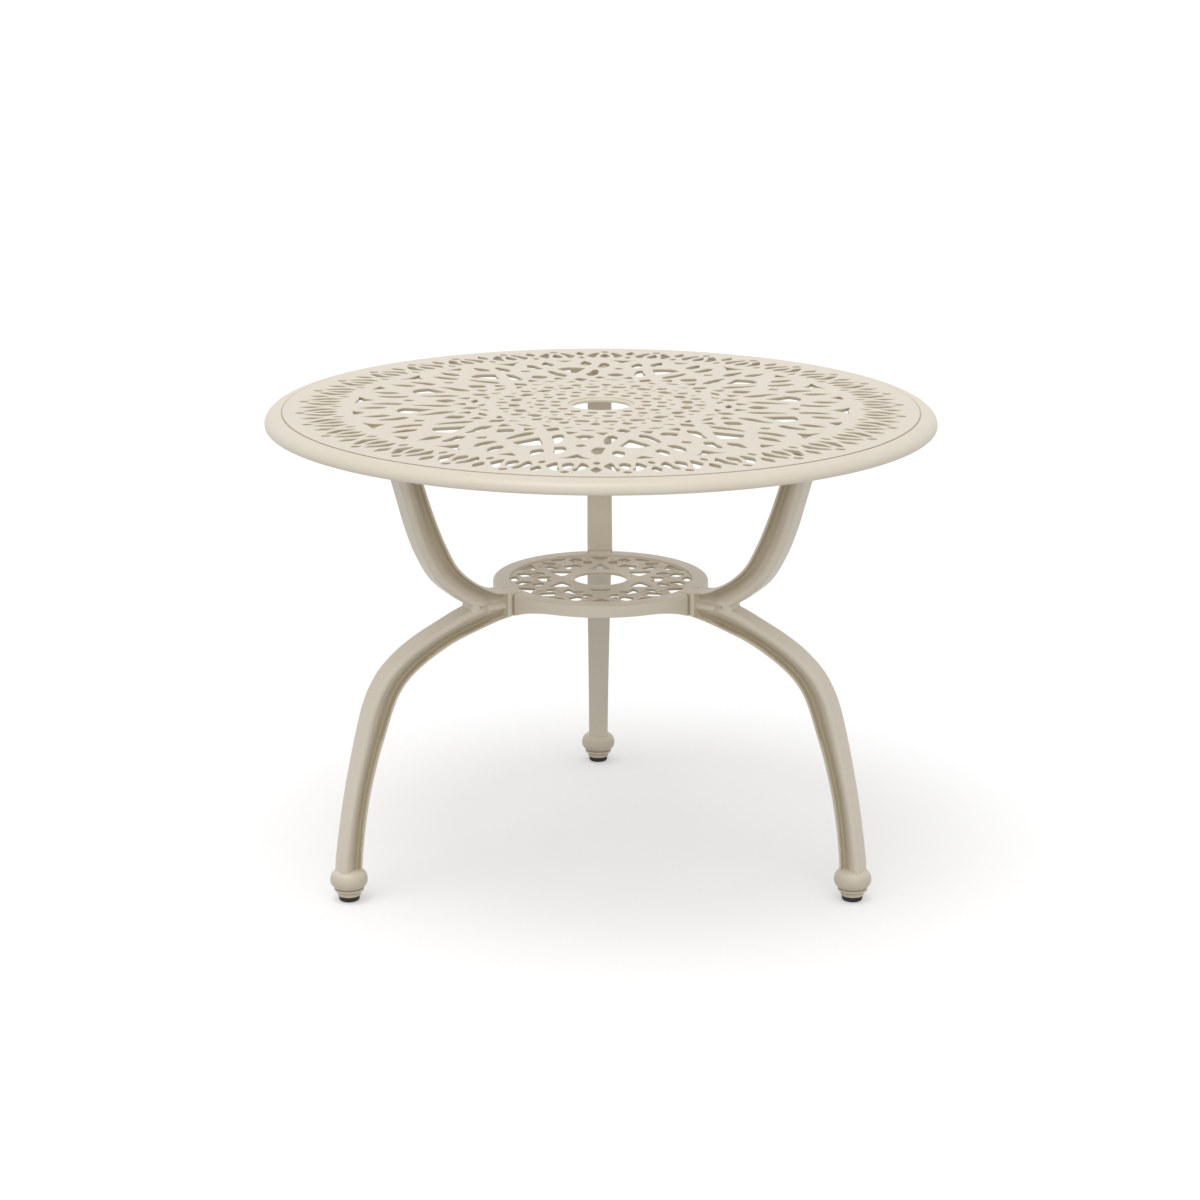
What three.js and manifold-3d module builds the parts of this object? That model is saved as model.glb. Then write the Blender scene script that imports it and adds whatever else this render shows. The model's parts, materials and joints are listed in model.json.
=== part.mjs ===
import * as THREE from 'three';
import { mergeVertices } from 'three/addons/utils/BufferGeometryUtils.js';
import Module from 'manifold-3d';

// Cast aluminium garden table with a round openwork top, an umbrella hole,
// three branching legs, a small round shelf between them and screw-in glides.
// Millimetres, +Z up, origin on the floor under the middle of the top.

// Overall sizes
const tableHeight = 750;
const tableRadius = 533.5;
const footInset = 73.5;
const footCircleRadius = tableRadius - footInset;
const pieceGap = 0.3;

// Tabletop rim
const rimHeight = 23.3;
const rimWall = 5.5;
const rimWallFoot = 4;
const rimGrooveInset = 27.5;
const rimGrooveRadius = tableRadius - rimGrooveInset;
const rimGrooveHalfWidth = 1;
const rimGrooveDepth = 1.4;
const rimWidestDrop = 19.2;
const rimFootRadius = 3.2;
const rimCurveShares = [0.27, 0.52, 0.76];
const rimSegments = 64;
const rimBandWidth = 16;
const rimInnerRadius = rimGrooveRadius - rimBandWidth;

// Tabletop plate
const plateThickness = 8;
const plateOverlap = 10;
const plateOuterRadius = rimInnerRadius + plateOverlap;
const plainBandWidth = 10;
const borderOuterRadius = rimInnerRadius - plainBandWidth;
const borderDepth = 75;
const rowGap = 15;
const borderInnerRadius = borderOuterRadius - borderDepth;
const crownHeight = 4.25;
const crownInset = 10;
const crownOuterRadius = borderOuterRadius - crownInset;
const umbrellaHoleRadius = 46;
const umbrellaLedgeRadius = 53;
const umbrellaLedgeDepth = 3.5;

// Rows of openings in the tabletop
const rosetteInnerRow = { count: 16, inner: 66, outer: 84, turnShare: 0.5 };
const rosetteBeadRow = { count: 18, inner: 90, outer: 104, turnShare: 0 };
const rosetteSlotRow = { count: 18, inner: 110, outer: 131, turnShare: 0.5 };
const rosetteOuterRow = { count: 18, inner: 127, outer: 151, turnShare: 0 };
const rosetteEdgeRow = { count: 24, inner: 170, outer: 185, turnShare: 0.3 };
const fieldRow = { count: 12, inner: 180, outer: borderInnerRadius - rowGap, turnShare: 0.3 };
const borderRow = {
  count: 33, inner: borderInnerRadius, outer: borderOuterRadius, turnShare: 0.166,
};

// Tabletop underside
const topBoltSpacing = 72;
const topPadWidth = 100;
const topPadDepth = 40;
const topPadInset = 166.5;
const topPadRadius = tableRadius - topPadInset;
const topPadThickness = 6;
const topPadOverlap = 3;

// Legs
const legFlange = 5;
const legCove = 4;
const legWeb = 11;
const legChamfer = 2.2;
const upperStations = 10;
const lowerStations = 14;
const legFlangeThickness = 6;
const ribHalf = 2.5;
const seamRadius = 174;
const seamPlateThickness = 7.5;
const waistHeight = 450.5;
const waistDepth = 39;
const seamTop = waistHeight + waistDepth / 2;
const seamFoot = waistHeight - waistDepth / 2;
const seamWidth = 42;
const topFlangeTop = tableHeight - plateThickness - topPadThickness - pieceGap;
const topFlangeBottom = topFlangeTop - legFlangeThickness;
const legTopHalfDepth = 18;
const legTopInner = topPadRadius - legTopHalfDepth;
const legTopOuter = topPadRadius + legTopHalfDepth;

// Upper limb side lines. Each point is a share of the way out from the seam to
// the pad, and a share of the way up from the waist to the flange's top.
const upperInnerShares = [
  [0.816, 0.791], [0.754, 0.657], [0.687, 0.528], [0.601, 0.387],
  [0.497, 0.256], [0.383, 0.177], [0.259, 0.121], [0.127, 0.077],
];
const upperOuterShares = [
  [1.013, 0.784], [0.951, 0.636], [0.881, 0.475], [0.794, 0.326],
  [0.668, 0.179], [0.523, 0.089], [0.373, 0.021], [0.187, -0.004],
];
const upperWidthShares = [0.976, 0.976, 0.983, 0.99, 0.995, 1, 1, 1];

// Lower limb side lines. Each point is a share of the way out from the seam to
// the foot circle, and a share of the way down from the waist to the bell.
const lowerOuterShares = [
  [0.119, -0.006], [0.241, 0.001], [0.409, 0.048], [0.545, 0.092], [0.666, 0.144],
  [0.774, 0.213], [0.841, 0.286], [0.879, 0.351], [0.92, 0.45], [0.958, 0.559],
  [1, 0.693], [1.035, 0.831], [1.061, 0.958],
];
const lowerInnerShares = [
  [0.091, 0.061], [0.206, 0.084], [0.353, 0.118], [0.469, 0.157], [0.566, 0.198],
  [0.65, 0.247], [0.701, 0.294], [0.738, 0.348], [0.785, 0.442], [0.829, 0.534],
  [0.882, 0.675], [0.919, 0.819], [0.939, 0.945],
];
const lowerWidthShares = [
  1, 1, 0.988, 0.983, 0.976, 0.964, 0.957, 0.952, 0.924, 0.893, 0.857, 0.824, 0.805,
];
const legFootWidth = 33.6;

// Bell foot
const bellSegments = 20;
const bellBottom = 12;
const bellCollarRadius = 18.3;
const bellCollarTop = 16.5;
const bellStepRadius = 23.6;
const bellStepTop = 21.5;
const bellLowRadius = 27.4;
const bellLowHeight = 27;
const bellWidestRadius = 29.6;
const bellWidestHeight = 34;
const bellHighRadius = 28.2;
const bellHighHeight = 41.5;
const bellShoulderRadius = 24.2;
const bellShoulderHeight = 48;
const bellTopRadius = 16;
const bellTop = 51.5;
const legFootSink = 4.5;
const legFootHeight = bellTop - legFootSink;
const legFootInward = 16.5;
const legFootOutward = 18.5;
const legFootInner = footCircleRadius - legFootInward;
const legFootOuter = footCircleRadius + legFootOutward;

// Levelling glides
const glideRadius = 16.5;
const glideEdge = 1.5;
const glideSegments = 20;
const studRadius = 5;
const studSegments = 10;
const studFoot = 4.3;
const studTop = 42;
const studTravelSpare = 12;
const studBoreTop = studTop + studTravelSpare;

// Bolts
const boltRadius = 4;
const boltSegments = 10;
const boltHeadHeight = 5.3;
const boltHeadRadius = 7.5;
const washerRadius = 8;
const washerThickness = 1.6;
const topBoltReach = 4;
const shelfBoltDrop = 4;
const shelfBoltHeight = waistHeight - shelfBoltDrop;
const shelfBoltReach = 24;
const shelfBoltHoleReach = 30;
const bossRadius = 9;
const bossLength = 40;
const bossSegments = 12;

// Shelf between the legs
const shelfRimProud = 0.5;
const shelfRadius = seamRadius + shelfRimProud;
const shelfFlatRadius = seamRadius - pieceGap;
const shelfTopDrop = 2.5;
const shelfTop = seamTop - shelfTopDrop;
const shelfEdgeChamfer = 2.5;
const shelfBandWidth = 26.5;
const shelfBandInner = shelfRadius - shelfBandWidth;
const shelfBandThickness = 8;
const shelfApronDepth = 20.1;
const shelfApronFoot = shelfTop - shelfApronDepth;
const shelfApronWall = 6;
const shelfLugFoot = seamFoot;
const shelfLugDepth = 24;
const shelfLugInner = shelfFlatRadius - shelfLugDepth;
const shelfPlateDrop = 3;
const shelfPlateTop = shelfTop - shelfPlateDrop;
const shelfPlateThickness = 4;
const shelfPlateOverlap = 4;
const shelfPlateOuter = shelfBandInner + shelfPlateOverlap;
const openworkSegments = 40;
const shelfHoleRadius = 43;
const shelfHoleBand = 14;
const shelfRow = {
  count: 6, inner: shelfHoleRadius + shelfHoleBand, outer: shelfBandInner, turnShare: 0,
};

// Opening outlines. Each point is a share of the row's pitch from its middle
// line, and a share of the row's depth from its inner circle.
const roundCellShares = [[-0.3, 0.45], [0, 0], [0.3, 0.45], [0, 1]];
const beadShares = [[-0.16, 0.5], [0, 0], [0.16, 0.5], [0, 1]];
const slotShares = [[-0.3, 0.4], [0, 0], [0.3, 0.4], [0.2, 1], [-0.2, 1]];
const petalCellShares = [[-0.14, 0.6], [0, 0], [0.14, 0.6], [0, 1]];
const edgeCellShares = [[-0.11, 0.4], [0, 0], [0.11, 0.4], [0, 1]];
const fieldDiamondShares = [[-0.1, 0.629], [0, 0.419], [0.1, 0.629], [0, 0.762]];
const fieldNotchShares = [[-0.04, 0.995], [0, 0.905], [0.04, 0.995]];
const fieldArchShares = [[0.423, 0.99], [0.5, 0.876], [0.577, 0.99]];
const fieldTipShares = [[0.453, 0.538], [0.547, 0.538], [0.5, 0.671]];
const fieldShieldShares = [
  [0.42, 0.362], [0.447, 0.252], [0.5, 0.219], [0.553, 0.252], [0.58, 0.362],
];
const fieldCrescentShares = [[-0.087, 0.095], [0, 0.038], [0.087, 0.095], [0, 0.138]];
const fieldLeafShares = [[0.143, 1], [0.147, 0.848], [0.2, 0.729], [0.227, 0.881]];
const fieldSlotShares = [[0.343, 0.876], [0.307, 0.714], [0.36, 0.614], [0.39, 0.752]];
const fieldTearShares = [
  [0.247, 0.543], [0.15, 0.357], [0.15, 0.262], [0.207, 0.243], [0.26, 0.37],
];
const fieldBeadShares = [[0.3, 0.2], [0.263, 0.162], [0.3, 0.119], [0.337, 0.162]];
const borderSlotShares = [[0, 0.773], [-0.092, 0.427], [0, 0.107], [0.092, 0.427]];
const borderSideShares = [[0.183, 0.947], [0.211, 0.413], [0.312, 0.173], [0.293, 0.627]];
const borderOvalShares = [[0.5, 0.947], [0.44, 0.733], [0.5, 0.507], [0.56, 0.733]];
const shelfMoonShares = [[-0.15, 0.27], [0, 0.35], [0.15, 0.27], [0.11, 0.47], [-0.11, 0.47]];
const shelfCurlShares = [[0.24, 0.44], [0.34, 0.46], [0.37, 0.6], [0.29, 0.68]];
const shelfTearShares = [[0.11, 0.76], [0.19, 0.6], [0.28, 0.77], [0.21, 0.91]];
const shelfRimCellShares = [[-0.1, 0.92], [0, 0.84], [0.1, 0.92], [0, 0.985]];
const shelfTriangleShares = [[0.27, 0.1], [0.5, 0.06], [0.73, 0.1], [0.5, 0.42]];
const shelfCornerShares = [[0.38, 0.95], [0.5, 0.72], [0.62, 0.95]];

// Lug outline round the shelf, as shares of half the angle between two legs
const lugEdgeShare = 0.115;
const lugFadeShare = 0.575;
const lugWallFadeShare = 0.2;
const shelfStationShares = [0, 0.115, 0.155, 0.2, 0.27, 0.36, 0.46, 0.58, 0.72, 0.86];

const legNames = ['back', 'front_left', 'front_right'];
const legAngles = [Math.PI / 2, (Math.PI * 7) / 6, (Math.PI * 11) / 6];

// Finishes
const creamCoat = { color: 0xdbd2bd, metalness: 0.15, roughness: 0.55 };
const blackPlastic = { color: 0x1c1b1a, metalness: 0, roughness: 0.6 };
const zincSteel = { color: 0xa9aaa8, metalness: 0.9, roughness: 0.35 };

const wasm = await Module();
wasm.setup();

// Closed body from a surface, and back again

function solidOf(geometry) {
  const bare = geometry.index ? geometry.toNonIndexed() : geometry.clone();
  bare.deleteAttribute('normal');
  bare.deleteAttribute('uv');
  const welded = mergeVertices(bare, pieceGap / 1000);
  const mesh = new wasm.Mesh({
    numProp: 3,
    vertProperties: new Float32Array(welded.attributes.position.array),
    triVerts: new Uint32Array(welded.index.array),
  });
  mesh.merge();
  return new wasm.Manifold(mesh);
}

function surfaceOf(solid) {
  const mesh = solid.getMesh();
  const geometry = new THREE.BufferGeometry();
  const points = new Float32Array(mesh.numVert * 3);
  for (let i = 0; i < mesh.numVert; i += 1) {
    for (let k = 0; k < 3; k += 1) {
      points[i * 3 + k] = mesh.vertProperties[i * mesh.numProp + k];
    }
  }
  geometry.setAttribute('position', new THREE.BufferAttribute(points, 3));
  geometry.setIndex(new THREE.BufferAttribute(new Uint32Array(mesh.triVerts), 1));
  geometry.computeVertexNormals();
  return geometry;
}

function joined(solids) {
  return solids.reduce((sum, solid) => sum.add(solid));
}

// Plain bodies

function rod(radius, bottom, top, segments) {
  const geometry = new THREE.CylinderGeometry(radius, radius, top - bottom, segments);
  geometry.rotateX(Math.PI / 2);
  geometry.translate(0, 0, (bottom + top) / 2);
  return geometry;
}

function block(size, centre) {
  const geometry = new THREE.BoxGeometry(...size);
  geometry.translate(...centre);
  return geometry;
}

function turned(profile, segments) {
  const points = profile.map(([radius, height]) => new THREE.Vector2(radius, height));
  const geometry = new THREE.LatheGeometry(points, segments);
  geometry.rotateX(Math.PI / 2);
  return geometry;
}

function loft(sections, closed) {
  const count = sections[0].length;
  const points = sections.flat();
  const faces = [];
  const spans = closed ? sections.length : sections.length - 1;
  for (let i = 0; i < spans; i += 1) {
    const here = i * count;
    const there = ((i + 1) % sections.length) * count;
    for (let k = 0; k < count; k += 1) {
      const next = (k + 1) % count;
      faces.push(here + k, there + next, here + next);
      faces.push(here + k, there + k, there + next);
    }
  }
  if (!closed) {
    const outline = sections[0].map((point) => point.userOutline);
    const caps = THREE.ShapeUtils.triangulateShape(outline, []);
    const last = (sections.length - 1) * count;
    for (const [a, b, c] of caps) {
      faces.push(a, b, c);
      faces.push(last + c, last + b, last + a);
    }
  }
  const geometry = new THREE.BufferGeometry();
  const numbers = points.flatMap((point) => [point.x, point.y, point.z]);
  geometry.setAttribute('position', new THREE.Float32BufferAttribute(numbers, 3));
  geometry.setIndex(faces);
  return geometry;
}

function disc(radius, segments) {
  const outline = Array.from({ length: segments }, (_, i) => {
    const angle = (i / segments) * Math.PI * 2;
    return [radius * Math.cos(angle), radius * Math.sin(angle)];
  });
  return new wasm.CrossSection([outline]);
}

// Openings cut by rows. Those that meet in a changed size become one opening.

function openingOutline(row, index, shares, mirrored) {
  const pitch = (Math.PI * 2) / row.count;
  const middle = (index + row.turnShare) * pitch;
  const outline = shares.map(([pitchShare, depthShare]) => {
    const angle = middle + (mirrored ? -pitchShare : pitchShare) * pitch;
    const radius = row.inner + depthShare * (row.outer - row.inner);
    return new THREE.Vector2(radius * Math.cos(angle), radius * Math.sin(angle));
  });
  if (THREE.ShapeUtils.isClockWise(outline)) outline.reverse();
  return outline.map(({ x, y }) => [x, y]);
}

function rowOutlines(row, single, paired) {
  const outlines = [];
  for (let i = 0; i < row.count; i += 1) {
    for (const shares of single) outlines.push(openingOutline(row, i, shares, false));
    for (const shares of paired) {
      outlines.push(openingOutline(row, i, shares, false));
      outlines.push(openingOutline(row, i, shares, true));
    }
  }
  return outlines;
}

function openwork(outerRadius, outerSegments, holeRadius, outlines) {
  const openings = new wasm.CrossSection(outlines, 'NonZero');
  const hole = disc(holeRadius, openworkSegments);
  return disc(outerRadius, outerSegments).subtract(hole).subtract(openings);
}

// Tabletop casting

function crownAt(radius) {
  const share = Math.min(radius / crownOuterRadius, 1);
  return crownHeight * (1 - share * share);
}

function latticePlate() {
  const fieldSingle = [
    fieldDiamondShares, fieldNotchShares, fieldArchShares,
    fieldTipShares, fieldShieldShares, fieldCrescentShares,
  ];
  const fieldPaired = [fieldLeafShares, fieldSlotShares, fieldTearShares, fieldBeadShares];
  const outlines = [
    ...rowOutlines(rosetteInnerRow, [roundCellShares], []),
    ...rowOutlines(rosetteBeadRow, [beadShares], []),
    ...rowOutlines(rosetteSlotRow, [slotShares], []),
    ...rowOutlines(rosetteOuterRow, [petalCellShares], []),
    ...rowOutlines(rosetteEdgeRow, [edgeCellShares], []),
    ...rowOutlines(fieldRow, fieldSingle, fieldPaired),
    ...rowOutlines(borderRow, [borderSlotShares, borderOvalShares], [borderSideShares]),
  ];
  const flat = openwork(plateOuterRadius, rimSegments, umbrellaHoleRadius, outlines);
  const bottom = tableHeight - plateThickness;
  return flat.extrude(plateThickness).warp((corner) => {
    corner[2] += bottom + crownAt(Math.hypot(corner[0], corner[1]));
  });
}

function rimRing() {
  const top = tableHeight;
  const foot = top - rimHeight;
  const underside = top - plateThickness;
  const span = tableRadius - rimGrooveRadius - rimGrooveHalfWidth;
  const grooveOuter = rimGrooveRadius + rimGrooveHalfWidth;
  const profile = [
    [rimInnerRadius, underside],
    [tableRadius - rimWall - rimFootRadius, underside],
    [tableRadius - rimWallFoot - rimFootRadius, foot + rimFootRadius],
    [tableRadius - rimFootRadius, foot],
    [tableRadius - rimFootRadius / 4, foot + rimFootRadius / 3],
    [tableRadius, top - rimWidestDrop],
  ];
  for (const curveShare of rimCurveShares) {
    const angle = (curveShare * Math.PI) / 2;
    profile.push([
      grooveOuter + span * Math.cos(angle),
      top - rimWidestDrop + rimWidestDrop * Math.sin(angle),
    ]);
  }
  profile.push([grooveOuter, top]);
  profile.push([rimGrooveRadius, top - rimGrooveDepth]);
  profile.push([rimGrooveRadius - rimGrooveHalfWidth, top]);
  profile.push([rimInnerRadius, top]);
  profile.push([rimInnerRadius, underside]);
  return turned(profile, rimSegments);
}

function atLeg(geometry, angle) {
  const copy = geometry.clone();
  copy.rotateZ(angle);
  return copy;
}

function tabletop() {
  const plate = latticePlate();
  const rim = solidOf(rimRing());
  const underside = tableHeight - plateThickness;
  const pads = legAngles.map((angle) => {
    const size = [topPadDepth, topPadWidth, topPadThickness + topPadOverlap];
    const middle = underside - topPadThickness + size[2] / 2;
    return solidOf(atLeg(block(size, [topPadRadius, 0, middle]), angle));
  });
  const ledge = solidOf(rod(
    umbrellaLedgeRadius,
    tableHeight + crownHeight - umbrellaLedgeDepth,
    tableHeight + crownHeight * 2,
    openworkSegments,
  ));
  const boltHoles = legAngles.flatMap((angle) => [-1, 1].map((side) => {
    const hole = rod(
      boltRadius + pieceGap,
      underside - topPadThickness * 2,
      topFlangeTop + topBoltReach + pieceGap,
      boltSegments,
    );
    hole.translate(topPadRadius, (side * topBoltSpacing) / 2, 0);
    return solidOf(atLeg(hole, angle));
  }));
  return joined([plate, rim, ...pads]).subtract(joined([ledge, ...boltHoles]));
}

// Leg casting

function limbLine(start, shares, reach, rise, end) {
  const between = shares.map(([outShare, upShare]) => [
    seamRadius + outShare * reach,
    waistHeight + upShare * rise,
  ]);
  const line = [start, ...between, end].map(([x, z]) => new THREE.Vector3(x, 0, z));
  return new THREE.CatmullRomCurve3(line, false, 'centripetal');
}

function limbSections(innerCurve, outerCurve, widths, stations) {
  const widthCurve = new THREE.SplineCurve(widths.map((width, i) => new THREE.Vector2(i, width)));
  const sections = [];
  for (let i = 0; i <= stations; i += 1) {
    const start = innerCurve.getPoint(i / stations);
    const end = outerCurve.getPoint(i / stations);
    const depth = start.distanceTo(end);
    const across = end.clone().sub(start).normalize();
    const half = widthCurve.getPoint(i / stations).y / 2;
    const side = [
      [depth, half - legChamfer],
      [depth - legChamfer, half],
      [depth - legFlange, half],
      [depth - legFlange - legCove, legWeb / 2],
      [legFlange + legCove, legWeb / 2],
      [legFlange, half],
      [legChamfer, half],
      [0, half - legChamfer],
    ];
    const otherSide = side.map(([along, out]) => [along, -out]).reverse();
    sections.push([...side, ...otherSide].map(([along, out]) => {
      const point = start.clone().addScaledVector(across, along);
      point.y = out;
      point.userOutline = new THREE.Vector2(along, out);
      return point;
    }));
  }
  return sections;
}

function legBody() {
  const topReach = topPadRadius - seamRadius;
  const topRise = topFlangeTop - waistHeight;
  const footReach = footCircleRadius - seamRadius;
  const footRise = legFootHeight - waistHeight;
  const flangeMiddle = topFlangeBottom + legFlangeThickness / 2;
  const upperInner = limbLine(
    [legTopInner, flangeMiddle], upperInnerShares, topReach, topRise, [seamRadius, seamTop],
  );
  const upperOuter = limbLine(
    [legTopOuter, flangeMiddle], upperOuterShares, topReach, topRise,
    [seamRadius, waistHeight - ribHalf],
  );
  const lowerInner = limbLine(
    [seamRadius, seamFoot], lowerInnerShares, footReach, footRise,
    [legFootInner, legFootHeight],
  );
  const lowerOuter = limbLine(
    [seamRadius, waistHeight + ribHalf], lowerOuterShares, footReach, footRise,
    [legFootOuter, legFootHeight],
  );
  const upperWidths = upperWidthShares.map((share) => share * seamWidth);
  const lowerWidths = lowerWidthShares.map((share) => share * seamWidth);
  const upper = limbSections(
    upperInner, upperOuter, [upperWidths[0], ...upperWidths, seamWidth], upperStations,
  );
  const lower = limbSections(
    lowerInner, lowerOuter, [seamWidth, ...lowerWidths, legFootWidth], lowerStations,
  );
  const seamPlate = block(
    [seamPlateThickness, seamWidth, seamTop - seamFoot],
    [seamRadius + seamPlateThickness / 2, 0, (seamTop + seamFoot) / 2],
  );
  const boss = rod(bossRadius, 0, bossLength, bossSegments);
  boss.rotateY(Math.PI / 2);
  boss.translate(seamRadius, 0, shelfBoltHeight);
  const flange = block(
    [topPadDepth, topPadWidth, legFlangeThickness],
    [topPadRadius, 0, topFlangeBottom + legFlangeThickness / 2],
  );
  const bell = turned([
    [0, bellBottom],
    [bellCollarRadius, bellBottom],
    [bellCollarRadius, bellCollarTop],
    [bellStepRadius, bellCollarTop],
    [bellStepRadius, bellStepTop],
    [bellLowRadius, bellLowHeight],
    [bellWidestRadius, bellWidestHeight],
    [bellHighRadius, bellHighHeight],
    [bellShoulderRadius, bellShoulderHeight],
    [bellTopRadius, bellTop],
    [0, bellTop],
  ], bellSegments);
  bell.translate(footCircleRadius, 0, 0);
  const studBore = rod(studRadius + pieceGap, bellBottom - bellBottom / 2, studBoreTop, studSegments);
  studBore.translate(footCircleRadius, 0, 0);
  const bossBore = rod(boltRadius + pieceGap, -bossLength, shelfBoltHoleReach, boltSegments);
  bossBore.rotateY(Math.PI / 2);
  bossBore.translate(seamRadius, 0, shelfBoltHeight);
  const flangeHoles = [-1, 1].map((side) => {
    const hole = rod(
      boltRadius + pieceGap,
      topFlangeBottom - legFlangeThickness,
      topFlangeTop + legFlangeThickness,
      boltSegments,
    );
    hole.translate(topPadRadius, (side * topBoltSpacing) / 2, 0);
    return solidOf(hole);
  });
  const body = joined([
    solidOf(loft(upper, false)),
    solidOf(loft(lower, false)),
    solidOf(seamPlate),
    solidOf(boss),
    solidOf(flange),
    solidOf(bell),
  ]);
  return body.subtract(joined([solidOf(studBore), solidOf(bossBore), ...flangeHoles]));
}

// Shelf casting

function fadeShare(share, from, to) {
  const left = 1 - Math.min(Math.max((share - from) / (to - from), 0), 1);
  return 1 - left * left;
}

function shelfRing() {
  const sections = [];
  const half = Math.PI / legAngles.length;
  for (const legAngle of legAngles) {
    const shares = [
      ...shelfStationShares.slice(1).map((share) => -share).reverse(),
      ...shelfStationShares,
      1,
    ];
    for (const share of shares) {
      const away = Math.abs(share);
      const angle = legAngle + share * half;
      const onFlat = away <= lugEdgeShare;
      const outer = onFlat
        ? Math.min(shelfRadius, shelfFlatRadius / Math.cos(share * half))
        : shelfRadius;
      const foot = shelfLugFoot
        + (shelfApronFoot - shelfLugFoot) * fadeShare(away, lugEdgeShare, lugFadeShare);
      const wall = shelfLugDepth
        + (shelfApronWall - shelfLugDepth) * fadeShare(away, lugEdgeShare, lugWallFadeShare);
      const inner = onFlat ? shelfLugInner / Math.cos(share * half) : outer - wall;
      const outline = [
        [shelfBandInner, shelfTop],
        [shelfBandInner, shelfTop - shelfBandThickness],
        [inner, shelfTop - shelfBandThickness],
        [inner, foot],
        [outer, foot],
        [outer, shelfTop - shelfEdgeChamfer],
        [outer - shelfEdgeChamfer, shelfTop],
      ];
      sections.push(outline.map(([radius, height]) => new THREE.Vector3(
        radius * Math.cos(angle), radius * Math.sin(angle), height,
      )));
    }
  }
  return loft(sections, true);
}

function shelf() {
  const single = [shelfMoonShares, shelfRimCellShares, shelfTriangleShares, shelfCornerShares];
  const outlines = rowOutlines(shelfRow, single, [shelfCurlShares, shelfTearShares]);
  const plate = openwork(shelfPlateOuter, openworkSegments, shelfHoleRadius, outlines)
    .extrude(shelfPlateThickness)
    .translate([0, 0, shelfPlateTop - shelfPlateThickness]);
  const holes = legAngles.map((angle) => {
    const hole = rod(boltRadius + pieceGap, shelfBandInner, shelfRadius * 2, boltSegments);
    hole.rotateY(Math.PI / 2);
    hole.translate(0, 0, shelfBoltHeight);
    return solidOf(atLeg(hole, angle));
  });
  return joined([plate, solidOf(shelfRing())]).subtract(joined(holes));
}

// Fasteners

function hexBolt(shankLength) {
  const head = rod(boltHeadRadius, -boltHeadHeight, 0, 6);
  const shank = rod(boltRadius, -boltHeadHeight / 2, shankLength, boltSegments);
  return surfaceOf(joined([solidOf(head), solidOf(shank)]));
}

function washer() {
  const disc = solidOf(rod(washerRadius, 0, washerThickness, boltSegments));
  const hole = solidOf(rod(boltRadius + pieceGap, -washerThickness, washerThickness * 2, boltSegments));
  return surfaceOf(disc.subtract(hole));
}

function underTop(geometry, side) {
  const copy = geometry.clone();
  copy.translate(topPadRadius, (side * topBoltSpacing) / 2, topFlangeBottom - washerThickness);
  return copy;
}

function alongShelf(geometry, radius) {
  const copy = geometry.clone();
  copy.rotateY(Math.PI / 2);
  copy.translate(radius, 0, shelfBoltHeight);
  return copy;
}

// Glides

function glidePad() {
  const top = bellBottom - pieceGap;
  const body = turned([
    [0, 0],
    [glideRadius - glideEdge, 0],
    [glideRadius, glideEdge],
    [glideRadius, top],
    [0, top],
  ], glideSegments);
  const bore = rod(studRadius + pieceGap, studFoot - pieceGap, bellBottom * 2, studSegments);
  const pad = surfaceOf(solidOf(body).subtract(solidOf(bore)));
  pad.translate(footCircleRadius, 0, 0);
  return pad;
}

function glideStud() {
  const stud = rod(studRadius, studFoot, studTop, studSegments);
  stud.translate(footCircleRadius, 0, 0);
  return stud;
}

// Assembly

const table = new THREE.Group();
table.name = 'umbrella_table';

function place(name, geometry, finish) {
  const material = new THREE.MeshStandardMaterial(finish);
  material.name = `${name}_finish`;
  const mesh = new THREE.Mesh(geometry, material);
  mesh.name = name;
  table.add(mesh);
}

place('tabletop', surfaceOf(tabletop()), creamCoat);
place('lower_shelf', surfaceOf(shelf()), creamCoat);

const leg = surfaceOf(legBody());
const topBoltLength = washerThickness + legFlangeThickness + topBoltReach;
const topBolt = hexBolt(topBoltLength);
const flatWasher = washer();
const shelfWasherSeat = shelfLugInner - pieceGap - washerThickness;
const shelfBolt = alongShelf(
  hexBolt(washerThickness + shelfLugDepth + shelfBoltReach),
  shelfWasherSeat - pieceGap,
);
const shelfWasher = alongShelf(flatWasher, shelfWasherSeat);
const pad = glidePad();
const stud = glideStud();

legNames.forEach((name, i) => {
  const angle = legAngles[i];
  place(`leg_${name}`, atLeg(leg, angle), creamCoat);
  for (const side of [-1, 1]) {
    const number = side < 0 ? 1 : 2;
    place(`top_bolt_${name}_${number}`, atLeg(underTop(topBolt, side), angle), zincSteel);
    place(`top_washer_${name}_${number}`, atLeg(underTop(flatWasher, side), angle), zincSteel);
  }
  place(`shelf_bolt_${name}`, atLeg(shelfBolt, angle), zincSteel);
  place(`shelf_washer_${name}`, atLeg(shelfWasher, angle), zincSteel);
  place(`glide_pad_${name}`, atLeg(pad, angle), blackPlastic);
  place(`glide_stud_${name}`, atLeg(stud, angle), zincSteel);
});

export default table;
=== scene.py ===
# %% [markdown]
# # A cast garden table
# The table is a few aluminium castings under one cream powder coat: an openwork top, three
# branching legs and a small scrolled shelf, with steel bolts and black glides. The CAD model
# fixes every size. Here each casting is made again with rounded edges, finer curves and its
# full pattern, and gets a surface made from nodes.

# %% Load the model from the CAD step
import json
import math

import bmesh
import bpy
from mathutils import Matrix, Vector
from mathutils.kdtree import KDTree

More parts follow.
